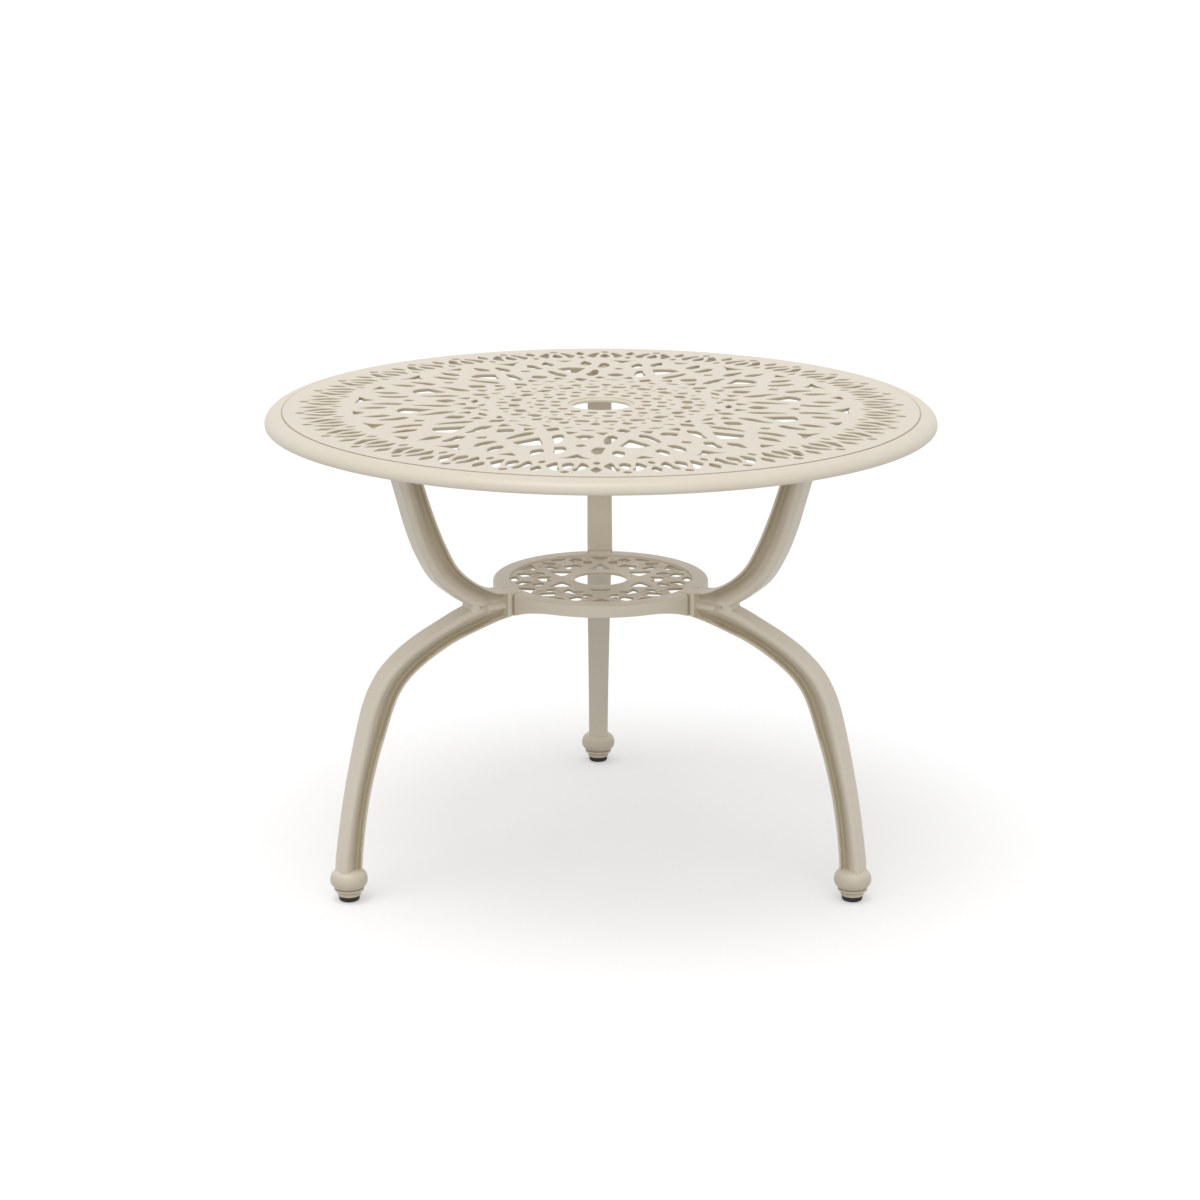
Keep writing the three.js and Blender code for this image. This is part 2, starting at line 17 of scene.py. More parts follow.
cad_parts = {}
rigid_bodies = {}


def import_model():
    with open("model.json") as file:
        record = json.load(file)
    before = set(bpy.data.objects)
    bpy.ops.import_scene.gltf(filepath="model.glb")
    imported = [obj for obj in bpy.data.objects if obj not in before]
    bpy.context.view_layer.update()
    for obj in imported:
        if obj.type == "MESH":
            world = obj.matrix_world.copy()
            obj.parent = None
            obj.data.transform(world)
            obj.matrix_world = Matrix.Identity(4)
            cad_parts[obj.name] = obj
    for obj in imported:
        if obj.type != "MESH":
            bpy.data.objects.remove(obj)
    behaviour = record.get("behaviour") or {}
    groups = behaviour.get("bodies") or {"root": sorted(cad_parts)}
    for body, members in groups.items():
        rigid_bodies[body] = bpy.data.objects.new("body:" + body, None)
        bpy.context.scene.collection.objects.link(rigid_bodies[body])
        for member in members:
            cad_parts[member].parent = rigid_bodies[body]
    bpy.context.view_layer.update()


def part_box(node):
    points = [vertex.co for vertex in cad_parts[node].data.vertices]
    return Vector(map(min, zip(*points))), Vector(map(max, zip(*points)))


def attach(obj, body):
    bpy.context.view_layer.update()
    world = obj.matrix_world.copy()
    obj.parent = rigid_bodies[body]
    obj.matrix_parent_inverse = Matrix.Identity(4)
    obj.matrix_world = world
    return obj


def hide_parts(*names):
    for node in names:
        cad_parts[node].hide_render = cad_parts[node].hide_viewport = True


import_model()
scene = bpy.context.scene
MM = 0.001

# %% [markdown]
# ## Camera
# The photograph was taken with a long lens from a little above the table. The camera's place
# and tilt were found by matching the rim's ellipse and the three feet, and one matrix sets it.

# %% Camera at the photograph's angle
CAMERA_SPOT = Vector((-0.00095, -4.37998, 1.63699))
CAMERA_PITCH = math.radians(15.421)
CAMERA_ROLL = math.radians(0.145)
CAMERA_HEADING = math.radians(-0.428)
CAMERA_LENS = 83.93
SENSOR_WIDTH = 36

camera_data = bpy.data.cameras.new("photo_camera")
camera_data.sensor_width = SENSOR_WIDTH
camera_data.lens = CAMERA_LENS
camera = bpy.data.objects.new("photo_camera", camera_data)
scene.collection.objects.link(camera)
camera.matrix_world = (
    Matrix.Rotation(CAMERA_HEADING, 4, "Z")
    @ Matrix.Translation(CAMERA_SPOT)
    @ Matrix.Rotation(math.pi / 2 - CAMERA_PITCH, 4, "X")
    @ Matrix.Rotation(CAMERA_ROLL, 4, "Z")
)
scene.camera = camera
print("camera at", tuple(round(value, 3) for value in camera.matrix_world.translation))

# %% [markdown]
# ## Node helpers
# Materials and Geometry Nodes are both trees of nodes joined by links. The first helper adds a
# node and sets its properties and inputs; an input that is given another node's socket is
# linked to it. The others add a node for its first output, add one step of arithmetic, and
# make a group with named sockets.

# %% Helpers for node trees
def add_node(tree, kind, inputs=None, **settings):
    node = tree.nodes.new(kind)
    for name, value in settings.items():
        setattr(node, name, value)
    for name, value in (inputs or {}).items():
        if isinstance(value, bpy.types.NodeSocket):
            tree.links.new(value, node.inputs[name])
        else:
            node.inputs[name].default_value = value
    return node


def made_by(tree, kind, inputs=None, **settings):
    """The first output of a new node."""
    return add_node(tree, kind, inputs, **settings).outputs[0]


def add_math(tree, operation, first, second):
    return made_by(tree, "ShaderNodeMath", {0: first, 1: second}, operation=operation)


def make_group(name, kind, inputs, outputs):
    tree = bpy.data.node_groups.new(name, kind)
    for label, socket_type, value in inputs:
        socket = tree.interface.new_socket(label, in_out="INPUT", socket_type=socket_type)
        if value is not None:
            socket.default_value = value
    for label, socket_type in outputs:
        tree.interface.new_socket(label, in_out="OUTPUT", socket_type=socket_type)
    return tree, tree.nodes.new("NodeGroupInput"), tree.nodes.new("NodeGroupOutput")


print("node helpers ready")

# %% [markdown]
# ## Powder coat grain
# Powder coat is melted on, so it flows into very fine waves, and it covers the softer
# roughness of the sand mould. The waves are far smaller than a pixel here, so they only break
# up the highlights. This group gives two heights and one slow tone for the materials to use.

# %% Shader group for the coat's grain
# Each height or tone has the name of its size, that size in millimetres and its noise's detail.
GRAIN = {
    "Waves": ("Wave size", 1.2, 2.0),
    "Mould": ("Mould size", 9.0, 3.0),
    "Tone": ("Tone size", 120.0, 2.0),
}
grain, grain_in, grain_out = make_group(
    "Powder coat grain",
    "ShaderNodeTree",
    [(size_name, "NodeSocketFloat", size) for size_name, size, _ in GRAIN.values()],
    [(label, "NodeSocketFloat") for label in GRAIN],
)
grain_place = add_node(grain, "ShaderNodeTexCoord").outputs["Object"]
for label, (size_name, _, detail) in GRAIN.items():
    scale = add_math(grain, "DIVIDE", 1 / MM, grain_in.outputs[size_name])
    inputs = {"Vector": grain_place, "Scale": scale, "Detail": detail}
    noise = add_node(grain, "ShaderNodeTexNoise", inputs)
    grain.links.new(noise.outputs["Fac"], grain_out.inputs[label])
print("group:", grain.name, [socket.name for socket in grain.interface.items_tree])

# %% [markdown]
# ## Materials
# The cream coat is a plastic skin, so it isn't metallic: it has a low sheen and the grain as a
# bump. The bolts are bright zinc, and the glides are moulded black plastic. In each a slow
# noise moves the colour and roughness a little, because no real coat is even. The cream coat
# also has painted shade: it is darker and browner in the castings' hollows, grooves and seams,
# where shade falls. Each mesh says where that shade is painted with an attribute of its points.

# %% Helper that makes a grained material
def mixed(tree, share, first, second):
    inputs = {"Factor": share, "A": first, "B": second}
    return add_node(tree, "ShaderNodeMix", inputs, data_type="RGBA").outputs["Result"]


def grained_material(name, light, dark, gloss, bumps, hollow=None, **sockets):
    """A material between two tones. Gloss is its roughness and how far that moves, and bumps
    are the heights of the waves and of the mould's roughness in millimetres."""
    material = bpy.data.materials.new(name)
    material.use_nodes = True
    tree = material.node_tree
    tree.nodes.clear()
    group = add_node(tree, "ShaderNodeGroup", node_tree=grain)
    tone = group.outputs["Tone"]
    colour = mixed(tree, tone, dark, light)
    # Painted shade: where the mesh's attribute says so, the colour goes towards a darker, browner
    # one.
    if hollow:
        depth = add_node(tree, "ShaderNodeAttribute", attribute_name="hollow").outputs["Fac"]
        colour = mixed(tree, depth, colour, hollow)
    inputs = {"Value": tone, "To Min": gloss[0] - gloss[1], "To Max": gloss[0] + gloss[1]}
    roughness = add_node(tree, "ShaderNodeMapRange", inputs).outputs["Result"]
    inputs = {"Height": group.outputs["Mould"], "Distance": bumps[1] * MM}
    big = made_by(tree, "ShaderNodeBump", inputs)
    inputs = {"Height": group.outputs["Waves"], "Distance": bumps[0] * MM, "Normal": big}
    fine = made_by(tree, "ShaderNodeBump", inputs)
    inputs = {**sockets, "Base Color": colour, "Roughness": roughness, "Normal": fine}
    shader = made_by(tree, "ShaderNodeBsdfPrincipled", inputs)
    add_node(tree, "ShaderNodeOutputMaterial", {"Surface": shader})
    return material


def as_light(red, green, blue):
    """A colour written as screen values from 0 to 255, as the amount of light it stands for."""
    light = [value / 255 / 12.92 if value <= 10 else ((value / 255 + 0.055) / 1.055) ** 2.4
             for value in (red, green, blue)]
    return (*light, 1)


print("a mid grey of 128 is", round(as_light(128, 128, 128)[0], 3), "in light")

# %% The three finishes
cream_coat = grained_material(
    "cream powder coat",
    as_light(223, 214, 197),
    as_light(218, 208, 189),
    (0.42, 0.05),
    (0.02, 0.05),
    # The darker, browner colour painted in as shade in hollows, grooves and seams.
    hollow=as_light(178, 165, 138),
    **{"Coat Weight": 0.3, "Coat Roughness": 0.45},
)
zinc_plate = grained_material(
    "bright zinc plate",
    as_light(196, 198, 194),
    as_light(170, 170, 160),
    (0.36, 0.08),
    (0.004, 0.01),
    Metallic=1.0,
)
black_plastic = grained_material(
    "black moulded plastic",
    as_light(22, 22, 21),
    as_light(15, 15, 14),
    (0.5, 0.06),
    (0.02, 0.02),
)
print("finishes:", cream_coat.name, zinc_plate.name, black_plastic.name)

# %% [markdown]
# ## Meshes from rings of points
# Nearly every casting here is rings of points joined one after another: a turned foot is one
# outline repeated round an axis, and a leg is one outline carried along a curve. So one
# function makes the skin between rings, and the rest only says where the rings are.

# %% Helpers that make a mesh
def polar(radius, angle):
    return radius * math.cos(angle), radius * math.sin(angle)


def skin(rings, loop=False):
    """Points and faces of a closed surface through rings of equal length."""
    count = len(rings[0])
    points = [Vector(point) for ring in rings for point in ring]
    faces = []
    for i in range(len(rings) if loop else len(rings) - 1):
        here = i * count
        there = (i + 1) % len(rings) * count
        for k in range(count):
            after = (k + 1) % count
            faces.append((here + k, here + after, there + after, there + k))
    if not loop:
        last = (len(rings) - 1) * count
        faces.append(tuple(reversed(range(count))))
        faces.append(tuple(last + k for k in range(count)))
    return points, faces


def turned(outline, segments, out=0.0, reach=lambda radius, height, share: radius):
    """Rings of an outline of (radius, height) pairs round an axis that stands at x = out.
    Reach can change the radius by the height and by the share of the whole turn."""
    rings = []
    for radius, height in outline:
        ring = []
        for k in range(segments):
            x, y = polar(reach(radius, height, k / segments), 2 * math.pi * k / segments)
            ring.append((out + x, y, height))
        rings.append(ring)
    return rings


def mesh_of(name, shells):
    """One mesh of several closed shells, in metres, with every face turned outwards."""
    points, faces = [], []
    for shell_points, shell_faces in shells:
        start = len(points)
        points.extend(point * MM for point in shell_points)
        faces.extend(tuple(start + k for k in face) for face in shell_faces)
    mesh = bpy.data.meshes.new(name)
    mesh.from_pydata(points, [], faces)
    work = bmesh.new()
    work.from_mesh(mesh)
    bmesh.ops.recalc_face_normals(work, faces=work.faces)
    work.to_mesh(mesh)
    work.free()
    return mesh


print("mesh helpers ready")

# %% [markdown]
# ## The tabletop's blank
# The casting starts as a turned plate. It rises a few millimetres towards the middle, so that
# rain runs off, and ends in a rolled rim with a fine groove inside it. The outline walks once
# round the plate's cut face, so turning it gives a closed ring round the umbrella hole. Short
# steps are only used where it bends. Underneath, the plate is thinner where the openwork is.

# %% Sizes of the tabletop
TABLE_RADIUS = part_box("tabletop")[1].x / MM
RIM_TOP = 750.0
PLATE_DEPTH = 8.0
BAR_DEPTH = 6.2
BARS_START = 60.0
BARS_END = 489.0
CROWN_HEIGHT = 4.25
CROWN_START = 72
CROWN_REACH = 470
CROWN_STEP = 19
HOLE_RADIUS = 46.0
LEDGE_RADIUS = 53.0
LEDGE_DEPTH = 3.5
GROOVE_RADIUS = TABLE_RADIUS - 27.5
GROOVE_BAND = 12
RIM_WIDEST_DROP = 17.9
RIM_DROP = 22.0
RIM_EDGE = 3.2


def crown_at(radius):
    share = min(radius / CROWN_REACH, 1)
    return CROWN_HEIGHT * (1 - share * share)


def arc(centre, across, up, start, end, steps):
    """Points on a part of an ellipse, by angles in degrees."""
    angles = [math.radians(start + (end - start) * k / steps) for k in range(steps + 1)]
    return [(centre[0] + across * math.cos(angle), centre[1] + up * math.sin(angle))
            for angle in angles]


print("tabletop radius", TABLE_RADIUS, "mm, crown", CROWN_HEIGHT, "mm")

# %% The outline of the blank's cut face
ledge_height = crown_at(0) - LEDGE_DEPTH
lip = [(LEDGE_RADIUS + out, crown_at(LEDGE_RADIUS + out) - down)
       for out, down in ((0, 1.5), (0.2, 0.75), (0.75, 0.2), (1.5, 0))]
crown_steps = [(radius, crown_at(radius))
               for radius in range(CROWN_START, CROWN_REACH + 1, CROWN_STEP)]
groove_steps = ((-16, 0), (-1.4, 0), (-1, 0.15), (-0.8, 0.5), (-0.7, 1.5), (0, 1.8), (0.8, 1.5),
                (1.6, 1))
groove = [(GROOVE_RADIUS + out, -down) for out, down in groove_steps]
rim_centre = (GROOVE_RADIUS + 2.8, -RIM_WIDEST_DROP)
rim_roll = arc(rim_centre, TABLE_RADIUS - rim_centre[0], RIM_WIDEST_DROP - 0.7, 90, 0, 16)
edge_height = RIM_EDGE - RIM_DROP
rim_foot = arc((TABLE_RADIUS - RIM_EDGE, edge_height), RIM_EDGE, RIM_EDGE, -20, -90, 4)
rim_inside = arc((TABLE_RADIUS - 3.8, edge_height), RIM_EDGE, RIM_EDGE, -100, -180, 4)
cove = arc((TABLE_RADIUS - 12.1, -PLATE_DEPTH - 3), 3, 3, 10, 90, 4)
under = [(BARS_END + 3.5, -PLATE_DEPTH), (BARS_END + 1, -PLATE_DEPTH + 0.9), (BARS_END, -BAR_DEPTH)]
under += [(radius, crown_at(radius) - BAR_DEPTH)
          for radius in range(CROWN_REACH, CROWN_START - 2, -CROWN_STEP)]
under += [(BARS_START + out, crown_at(BARS_START) - depth)
          for out, depth in ((0, BAR_DEPTH), (-1, PLATE_DEPTH - 0.9), (-3.5, PLATE_DEPTH))]
hole_foot = crown_at(HOLE_RADIUS) - PLATE_DEPTH
blank_outline = [
    *lip, *crown_steps, *groove, *rim_roll, *rim_foot, *rim_inside, *cove, *under,
    (HOLE_RADIUS + 1, hole_foot), (HOLE_RADIUS, hole_foot + 1),
    (HOLE_RADIUS, ledge_height - 0.6), (HOLE_RADIUS + 0.6, ledge_height),
    (LEDGE_RADIUS - 0.8, ledge_height), (LEDGE_RADIUS, ledge_height + 0.8),
]
blank_outline = [(radius, RIM_TOP + height) for radius, height in blank_outline]
print("blank outline points:", len(blank_outline))

# %% [markdown]
# ## Openings
# Each opening is written as a few corner points, by angle and distance from the middle, and
# its corners are rounded off. To cut it, the outline becomes a plug that widens at the top in
# a quarter circle, so the bars left between the plugs get the soft shoulders of a casting.

# %% Rounded outlines and the plugs that cut them
def rounded(corners, share=0.36, reach=4.0, steps=2):
    """A closed outline with its corners bent round."""
    corners = [Vector(corner) for corner in corners]
    outline = []
    for i, corner in enumerate(corners):
        before = corners[i - 1] - corner
        after = corners[(i + 1) % len(corners)] - corner
        start = corner + before.normalized() * min(before.length * share, reach)
        end = corner + after.normalized() * min(after.length * share, reach)
        for k in range(steps + 1):
            t = k / steps
            outline.append(start.lerp(corner, t).lerp(corner.lerp(end, t), t))
    return outline


def spread(outline, distance):
    """The outline moved outwards."""
    moved = []
    for i, point in enumerate(outline):
        before = point - outline[i - 1]
        after = outline[(i + 1) % len(outline)] - point
        side = before.normalized() + after.normalized()
        if side.length < 1e-6:
            side = after
        normal = Vector((side.y, -side.x)).normalized()
        moved.append(point + normal * distance)
    return moved


def counterclockwise(outline):
    area = sum(a.x * b.y - b.x * a.y for a, b in zip(outline, outline[1:] + outline[:1]))
    return outline if area > 0 else outline[::-1]


def plug(outline, shoulder, top, depth, height_at):
    """Rings of a plug that cuts one opening with rounded shoulders of that radius."""
    foot = 0.8
    profile = [(shoulder + 0.5, 4), (shoulder + 0.5, 0.1)]
    for angle in (22.5, 45, 67.5, 90):
        turn = math.radians(angle)
        profile.append((shoulder * (1 - math.sin(turn)), -shoulder * (1 - math.cos(turn))))
    profile += [(0, foot - depth), (foot, -depth - 0.05), (foot, -depth - 4)]
    rings = []
    for out, height in profile:
        ring = spread(outline, out)
        rings.append([(p.x, p.y, top + height + height_at(p.length)) for p in ring])
    return rings


print("a square rounds to", len(rounded([(0, 0), (9, 0), (9, 9), (0, 9)])), "points")

# %% [markdown]
# ## The pattern
# The openwork is a wheel of rows: a border of slots outside, a wide field of leaves and
# diamonds, and a rosette of small cells round the umbrella hole. Every row repeats one group
# of openings, some of them as mirrored pairs, so the top needs only these few outlines.

# %% Corner points, as degrees from the middle of the repeat and millimetres from the hole
HOLE_OVAL = [(-6.6, 73.5), (-3.5, 66.5), (3.5, 66.5), (6.6, 73.5), (3.5, 81), (-3.5, 81)]

ROSETTE_LENS = [(-5.2, 96.5), (-2.8, 91.5), (2.8, 91.5), (5.2, 96.5), (2.4, 106), (-2.4, 106)]
ROSETTE_EYE = [(-5.4, 139.5), (-3.4, 131.5), (0, 130), (3.4, 131.5), (5.4, 139.5), (3.2, 148.5),
               (0, 145.5), (-3.2, 148.5)]
ROSETTE_DOT = [(-1.8, 163.5), (0, 158), (1.8, 163.5), (0, 168.5)]
ROSETTE_BUD = [(-3.2, 114.5), (0, 110), (3.2, 114.5), (0, 119.5)]
ROSETTE_STEM = [(-1, 136.5), (0, 130.5), (1, 136.5), (0, 141.5)]
ROSETTE_DROP = [(0, 146), (2.7, 155), (2.5, 163), (0, 168), (-2.5, 163), (-2.7, 155)]

NOTCH = [(-2.2, 394.5), (0, 376), (2.2, 394.5)]
FAN = [(-4.4, 313), (-2.3, 322.5), (0, 326.5), (2.3, 322.5), (4.4, 313), (0, 267)]
LENS = [(-3, 209.5), (0, 192), (3, 209.5), (0, 225.5)]
LEAF = [(5.1, 387), (6.6, 366), (6.7, 352), (5.5, 338), (3.8, 349), (4, 364)]
LONG_SLOT = [(10.6, 368), (11.8, 345), (11.4, 328), (10.3, 316.5), (8.2, 321), (9, 338), (9.4, 361)]
TEAR = [(7.8, 302), (8.5, 287), (8.1, 262), (7, 244.5), (5.4, 236), (3.8, 249), (4.2, 262),
        (6.2, 281), (7, 298)]
TRIANGLE = [(8.8, 237.5), (11.7, 218), (6.3, 216)]
WEDGE = [(9, 185), (4.8, 197.5), (3.2, 193.5), (4.6, 186.5)]
TULIP = [(11.2, 395), (13.3, 384), (15, 364), (16.7, 384), (18.8, 395), (15, 391)]
SMALL_DIAMOND = [(13.4, 310), (15, 298.5), (16.6, 310), (15, 319.5)]
SHIELD = [(11.6, 250.5), (13.3, 238), (15, 234.5), (16.7, 238), (18.4, 250.5), (16.3, 263),
          (15, 267.5), (13.7, 263)]
SLIT = [(10.5, 203.5), (15, 198), (19.5, 203.5), (15, 209)]

BORDER_SLOT = [(0, 416), (1.1, 428), (0.95, 440), (0, 462), (-0.95, 440), (-1.1, 428)]
BORDER_SIDE = [(1.6, 473), (2.9, 459), (4.1, 441), (3.5, 428), (2.6, 416.5), (2.15, 432),
               (2.05, 446), (1.2, 459)]
BORDER_OVAL = [(4.45, 461), (5.454, 442), (6.46, 461), (5.454, 481)]
BORDER_DOT = [(4.7, 420.5), (5.454, 409.5), (6.2, 420.5), (5.454, 431.5)]
BORDER_TIP = [(0, 467), (0.85, 476), (0.35, 484), (-0.35, 484), (-0.85, 476)]

# Each row has its number of repeats, the azimuth of the first one, how far its outlines are
# spread, the shoulder's radius, the openings that it has once in each repeat, and those that
# it has as a mirrored pair.
TOP_ROWS = {
    "hole ring": (16, 11.9, 0.9, 1.6, [HOLE_OVAL], []),
    "rosette": (20, 5.45, 0.6, 1.6, [ROSETTE_LENS, ROSETTE_EYE, ROSETTE_DOT], []),
    "rosette between": (20, 14.45, 0.6, 1.6, [ROSETTE_BUD, ROSETTE_STEM, ROSETTE_DROP], []),
    "field": (12, 9, 0.8, 1.9, [NOTCH, FAN, LENS, TULIP, SMALL_DIAMOND, SHIELD, SLIT],
              [LEAF, LONG_SLOT, TEAR, TRIANGLE, WEDGE]),
    "border": (33, 1.45, 0.9, 1.6, [BORDER_SLOT, BORDER_OVAL, BORDER_DOT, BORDER_TIP], [BORDER_SIDE]),
}
print("openings in the top:",
      sum(row[0] * (len(row[4]) + 2 * len(row[5])) for row in TOP_ROWS.values()))

# %% [markdown]
# ## A Geometry Nodes tree that cuts one row
# A row is the same few plugs repeated round the middle, which is what instances are for: the
# tree makes a point for each repeat, turns a copy of the plugs to it, and takes them all away
# from the casting with a boolean. The count and the turn are inputs, so one tree serves every
# row of the top and of the shelf as one more modifier on the blank.

# %% What the trees share
def geometry_tree(name, inputs):
    """A tree for a modifier on a mesh, with its inputs and its output."""
    geometry = ("Geometry", "NodeSocketGeometry")
    inputs = [(*geometry, None), *inputs, ("Finish", "NodeSocketMaterial", None)]
    tree, start, end = make_group(name, "GeometryNodeTree", inputs, [geometry])
    tree.is_modifier = True
    return tree, start.outputs, end.inputs


def rotation_about_z(tree, angle):
    euler = made_by(tree, "ShaderNodeCombineXYZ", {"Z": angle})
    return made_by(tree, "FunctionNodeEulerToRotation", {"Euler": euler})


def copies_round(tree, count, first_turn, instance):
    """Copies of an instance, turned evenly round the middle and made real."""
    share = add_math(tree, "DIVIDE", made_by(tree, "GeometryNodeInputIndex"), count)
    angle = add_math(tree, "ADD", add_math(tree, "MULTIPLY", share, 2 * math.pi), first_turn)
    inputs = {
        "Points": made_by(tree, "GeometryNodePoints", {"Count": count}),
        "Instance": instance,
        "Rotation": rotation_about_z(tree, angle),
    }
    copies = made_by(tree, "GeometryNodeInstanceOnPoints", inputs)
    return made_by(tree, "GeometryNodeRealizeInstances", {"Geometry": copies})


def end_tree(tree, given, end, geometry):
    """The last steps: all copies are made real and get the given finish."""
    real = made_by(tree, "GeometryNodeRealizeInstances", {"Geometry": geometry})
    inputs = {"Geometry": real, "Material": given["Finish"]}
    tree.links.new(made_by(tree, "GeometryNodeSetMaterial", inputs), end["Geometry"])


print("tree helpers ready")

# %% The tree that cuts a row
row_inputs = [
    ("Plugs", "NodeSocketCollection", None),
    ("Count", "NodeSocketInt", 12),
    ("Start", "NodeSocketFloat", 0.0),
]
row_tree, given, end = geometry_tree("Row of openings", row_inputs)
plugs = made_by(row_tree, "GeometryNodeCollectionInfo", {"Collection": given["Plugs"]})
tools = copies_round(row_tree, given["Count"], given["Start"], plugs)
inputs = {"Mesh 1": given["Geometry"], "Mesh 2": tools}
settings = {"operation": "DIFFERENCE", "solver": "MANIFOLD"}
cut = made_by(row_tree, "GeometryNodeMeshBoolean", inputs, **settings)
end_tree(row_tree, given, end, cut)
print("tree:", row_tree.name, "nodes:", len(row_tree.nodes))

# %% Helpers that run a tree and keep its result as a plain mesh
def linked(name, data):
    piece = bpy.data.objects.new(name, data)
    scene.collection.objects.link(piece)
    return piece


def piece_of(name, *shells):
    return linked(name, mesh_of(name, shells))


def run_tree(piece, tree, values):
    """Puts the tree on the piece and sets its inputs by name."""
    modifier = piece.modifiers.new(tree.name, "NODES")
    modifier.node_group = tree
    for item in tree.interface.items_tree:
        if item.name in values and item.in_out == "INPUT":
            modifier[item.identifier] = values[item.name]


def baked(piece):
    """The piece with its modifiers applied."""
    view = bpy.context.evaluated_depsgraph_get()
    mesh = bpy.data.meshes.new_from_object(piece.evaluated_get(view))
    mesh.name = piece.name
    piece.modifiers.clear()
    piece.data = mesh
    return piece


def plugs_for(row, top, depth, height_at):
    _, _, wider, shoulder, singles, pairs = row
    group = bpy.data.collections.new("plugs")
    sides = [(corners, 1) for corners in singles + pairs] + [(corners, -1) for corners in pairs]
    for corners, side in sides:
        flat = [polar(radius, side * math.radians(degrees)) for degrees, radius in corners]
        outline = spread(counterclockwise(rounded(flat)), wider)
        mesh = mesh_of("plug", [skin(plug(outline, shoulder, top, depth, height_at))])
        group.objects.link(bpy.data.objects.new("plug", mesh))
    return group


def cut_rows(piece, rows, top, depth, height_at):
    """Cuts rows of openings, each with its own plugs, which are then removed."""
    groups = [plugs_for(row, top, depth, height_at) for row in rows.values()]
    for row, group in zip(rows.values(), groups):
        values = {"Plugs": group, "Count": row[0], "Start": math.radians(row[1])}
        run_tree(piece, row_tree, {**values, "Finish": cream_coat})
    baked(piece)
    for group in groups:
        for plug_object in list(group.objects):
            bpy.data.objects.remove(plug_object)
        bpy.data.collections.remove(group)


def finished(piece, finish, angle=38):
    """One finish, and smooth shading that weighs normals by size, which keeps flat faces flat."""
    piece.data.materials.clear()
    piece.data.materials.append(finish)
    for face in piece.data.polygons:
        face.material_index = 0
        face.use_smooth = True
    piece.data.set_sharp_from_angle(angle=math.radians(angle))
    weigh = piece.modifiers.new("weighed normals", "WEIGHTED_NORMAL")
    weigh.keep_sharp = True
    return baked(piece)


def paint_shade(piece, share_at):
    """Writes how much painted shade each point gets, from 0 to 1, for the coat to read."""
    marks = piece.data.attributes.new("hollow", "FLOAT", "POINT")
    for vertex, mark in zip(piece.data.vertices, marks.data):
        mark.value = share_at(vertex.co / MM)


print("modifier helpers ready")

# %% Cut the tabletop
TOP_SEGMENTS = 192
blank = skin(turned(blank_outline, TOP_SEGMENTS), loop=True)
openwork_top = piece_of("openwork_top", blank)
cut_rows(openwork_top, TOP_ROWS, RIM_TOP, BAR_DEPTH, crown_at)
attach(openwork_top, "table_frame")
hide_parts("tabletop")
print("tabletop faces:", len(openwork_top.data.polygons))

# %% [markdown]
# ## Lines that bend smoothly
# The legs are given by a few points along their inner and outer edges. A centripetal curve
# passes through every point and never loops back on itself. Each point may carry a third
# number, such as the casting's width there.

# %% Helper for smooth lines
def bend(before, start, end, after, share):
    """A place on the curve between start and end."""
    gaps = [max((b - a).length ** 0.5, 1e-3)
            for a, b in ((before, start), (start, end), (end, after))]
    leaving = (start - before) / gaps[0] - (end - before) / (gaps[0] + gaps[1])
    leaving = (leaving + (end - start) / gaps[1]) * gaps[1]
    arriving = (end - start) / gaps[1] - (after - start) / (gaps[1] + gaps[2])
    arriving = (arriving + (after - end) / gaps[2]) * gaps[1]
    square, cube = share ** 2, share ** 3
    place = start * (2 * cube - 3 * square + 1) + end * (3 * square - 2 * cube)
    return place + leaving * (cube - 2 * square + share) + arriving * (cube - square)


def smooth_line(points, steps):
    points = [Vector(point) for point in points]
    chain = [points[0] * 2 - points[1], *points, points[-1] * 2 - points[-2]]
    line = []
    for k in range(steps + 1):
        place = k / steps * (len(points) - 1)
        i = min(int(place), len(points) - 2)
        line.append(bend(*chain[i:i + 4], place - i))
    return line


print("a line of 3 points in 8 steps has", len(smooth_line([(0, 0), (1, 1), (2, 0)], 8)), "points")

# %% [markdown]
# ## Legs
# A leg is one casting: an upper limb that curves out to the top, a lower limb that curves out
# to the foot, an end plate bolted to the shelf, and a bell-shaped foot. Both limbs are hollowed
# on each side, so their cut face looks like the letter I: a thin crisp flange inside, a thin
# web, and a long soft cove out to the broad outer flange. It is carried along the leg, and its
# depth follows the two edges. Where the limbs fork, their outer flanges sink into the web, so
# the waist is one hollow panel.

# %% The edges of the limbs, as (distance from the middle, height, width) in millimetres
UPPER_INNER = [
    (349, 732.7, 41), (331.5, 676.1, 41), (319.5, 637.9, 41), (306.6, 601.1, 41.3),
    (290, 560.9, 41.6), (269.9, 523.5, 41.8), (247.9, 501, 42), (224, 485, 42),
    (198.5, 472.5, 42), (175, 470, 42),
]
UPPER_OUTER = [
    (385, 732.7), (369.5, 674.1), (357.5, 631.9), (344, 586), (327.2, 543.5), (302.9, 501.6),
    (274.9, 475.9), (246, 456.5), (210.1, 449.4), (175, 448),
]
LOWER_INNER = [
    (175, 431, 42), (200, 425.9, 42), (232.9, 416.6, 42), (275, 402.9, 41.5),
    (308.1, 387.2, 41.3), (335.9, 370.6, 41), (359.9, 350.8, 40.5), (374.5, 331.9, 40.2),
    (385.1, 310.1, 40), (398.5, 272.2, 38.8), (411.1, 235, 37.5), (426.3, 178.1, 36),
    (436.8, 120, 34.6), (442.6, 69.2, 33.8), (443.5, 44, 33.6),
]
LOWER_OUTER = [
    (175, 453), (208, 452.9), (242.9, 450.1), (291, 431.1), (329.9, 413.4), (364.5, 392.4),
    (395.4, 364.6), (414.5, 335.1), (425.4, 308.9), (437.1, 268.9), (448, 224.9), (460, 170.9),
    (470, 115.2), (477.4, 63.9), (478.5, 44),
]
LEG_ANGLES = {"back": 90, "front_left": 210, "front_right": 330}
print("points along a leg:", len(UPPER_INNER) + len(LOWER_INNER))

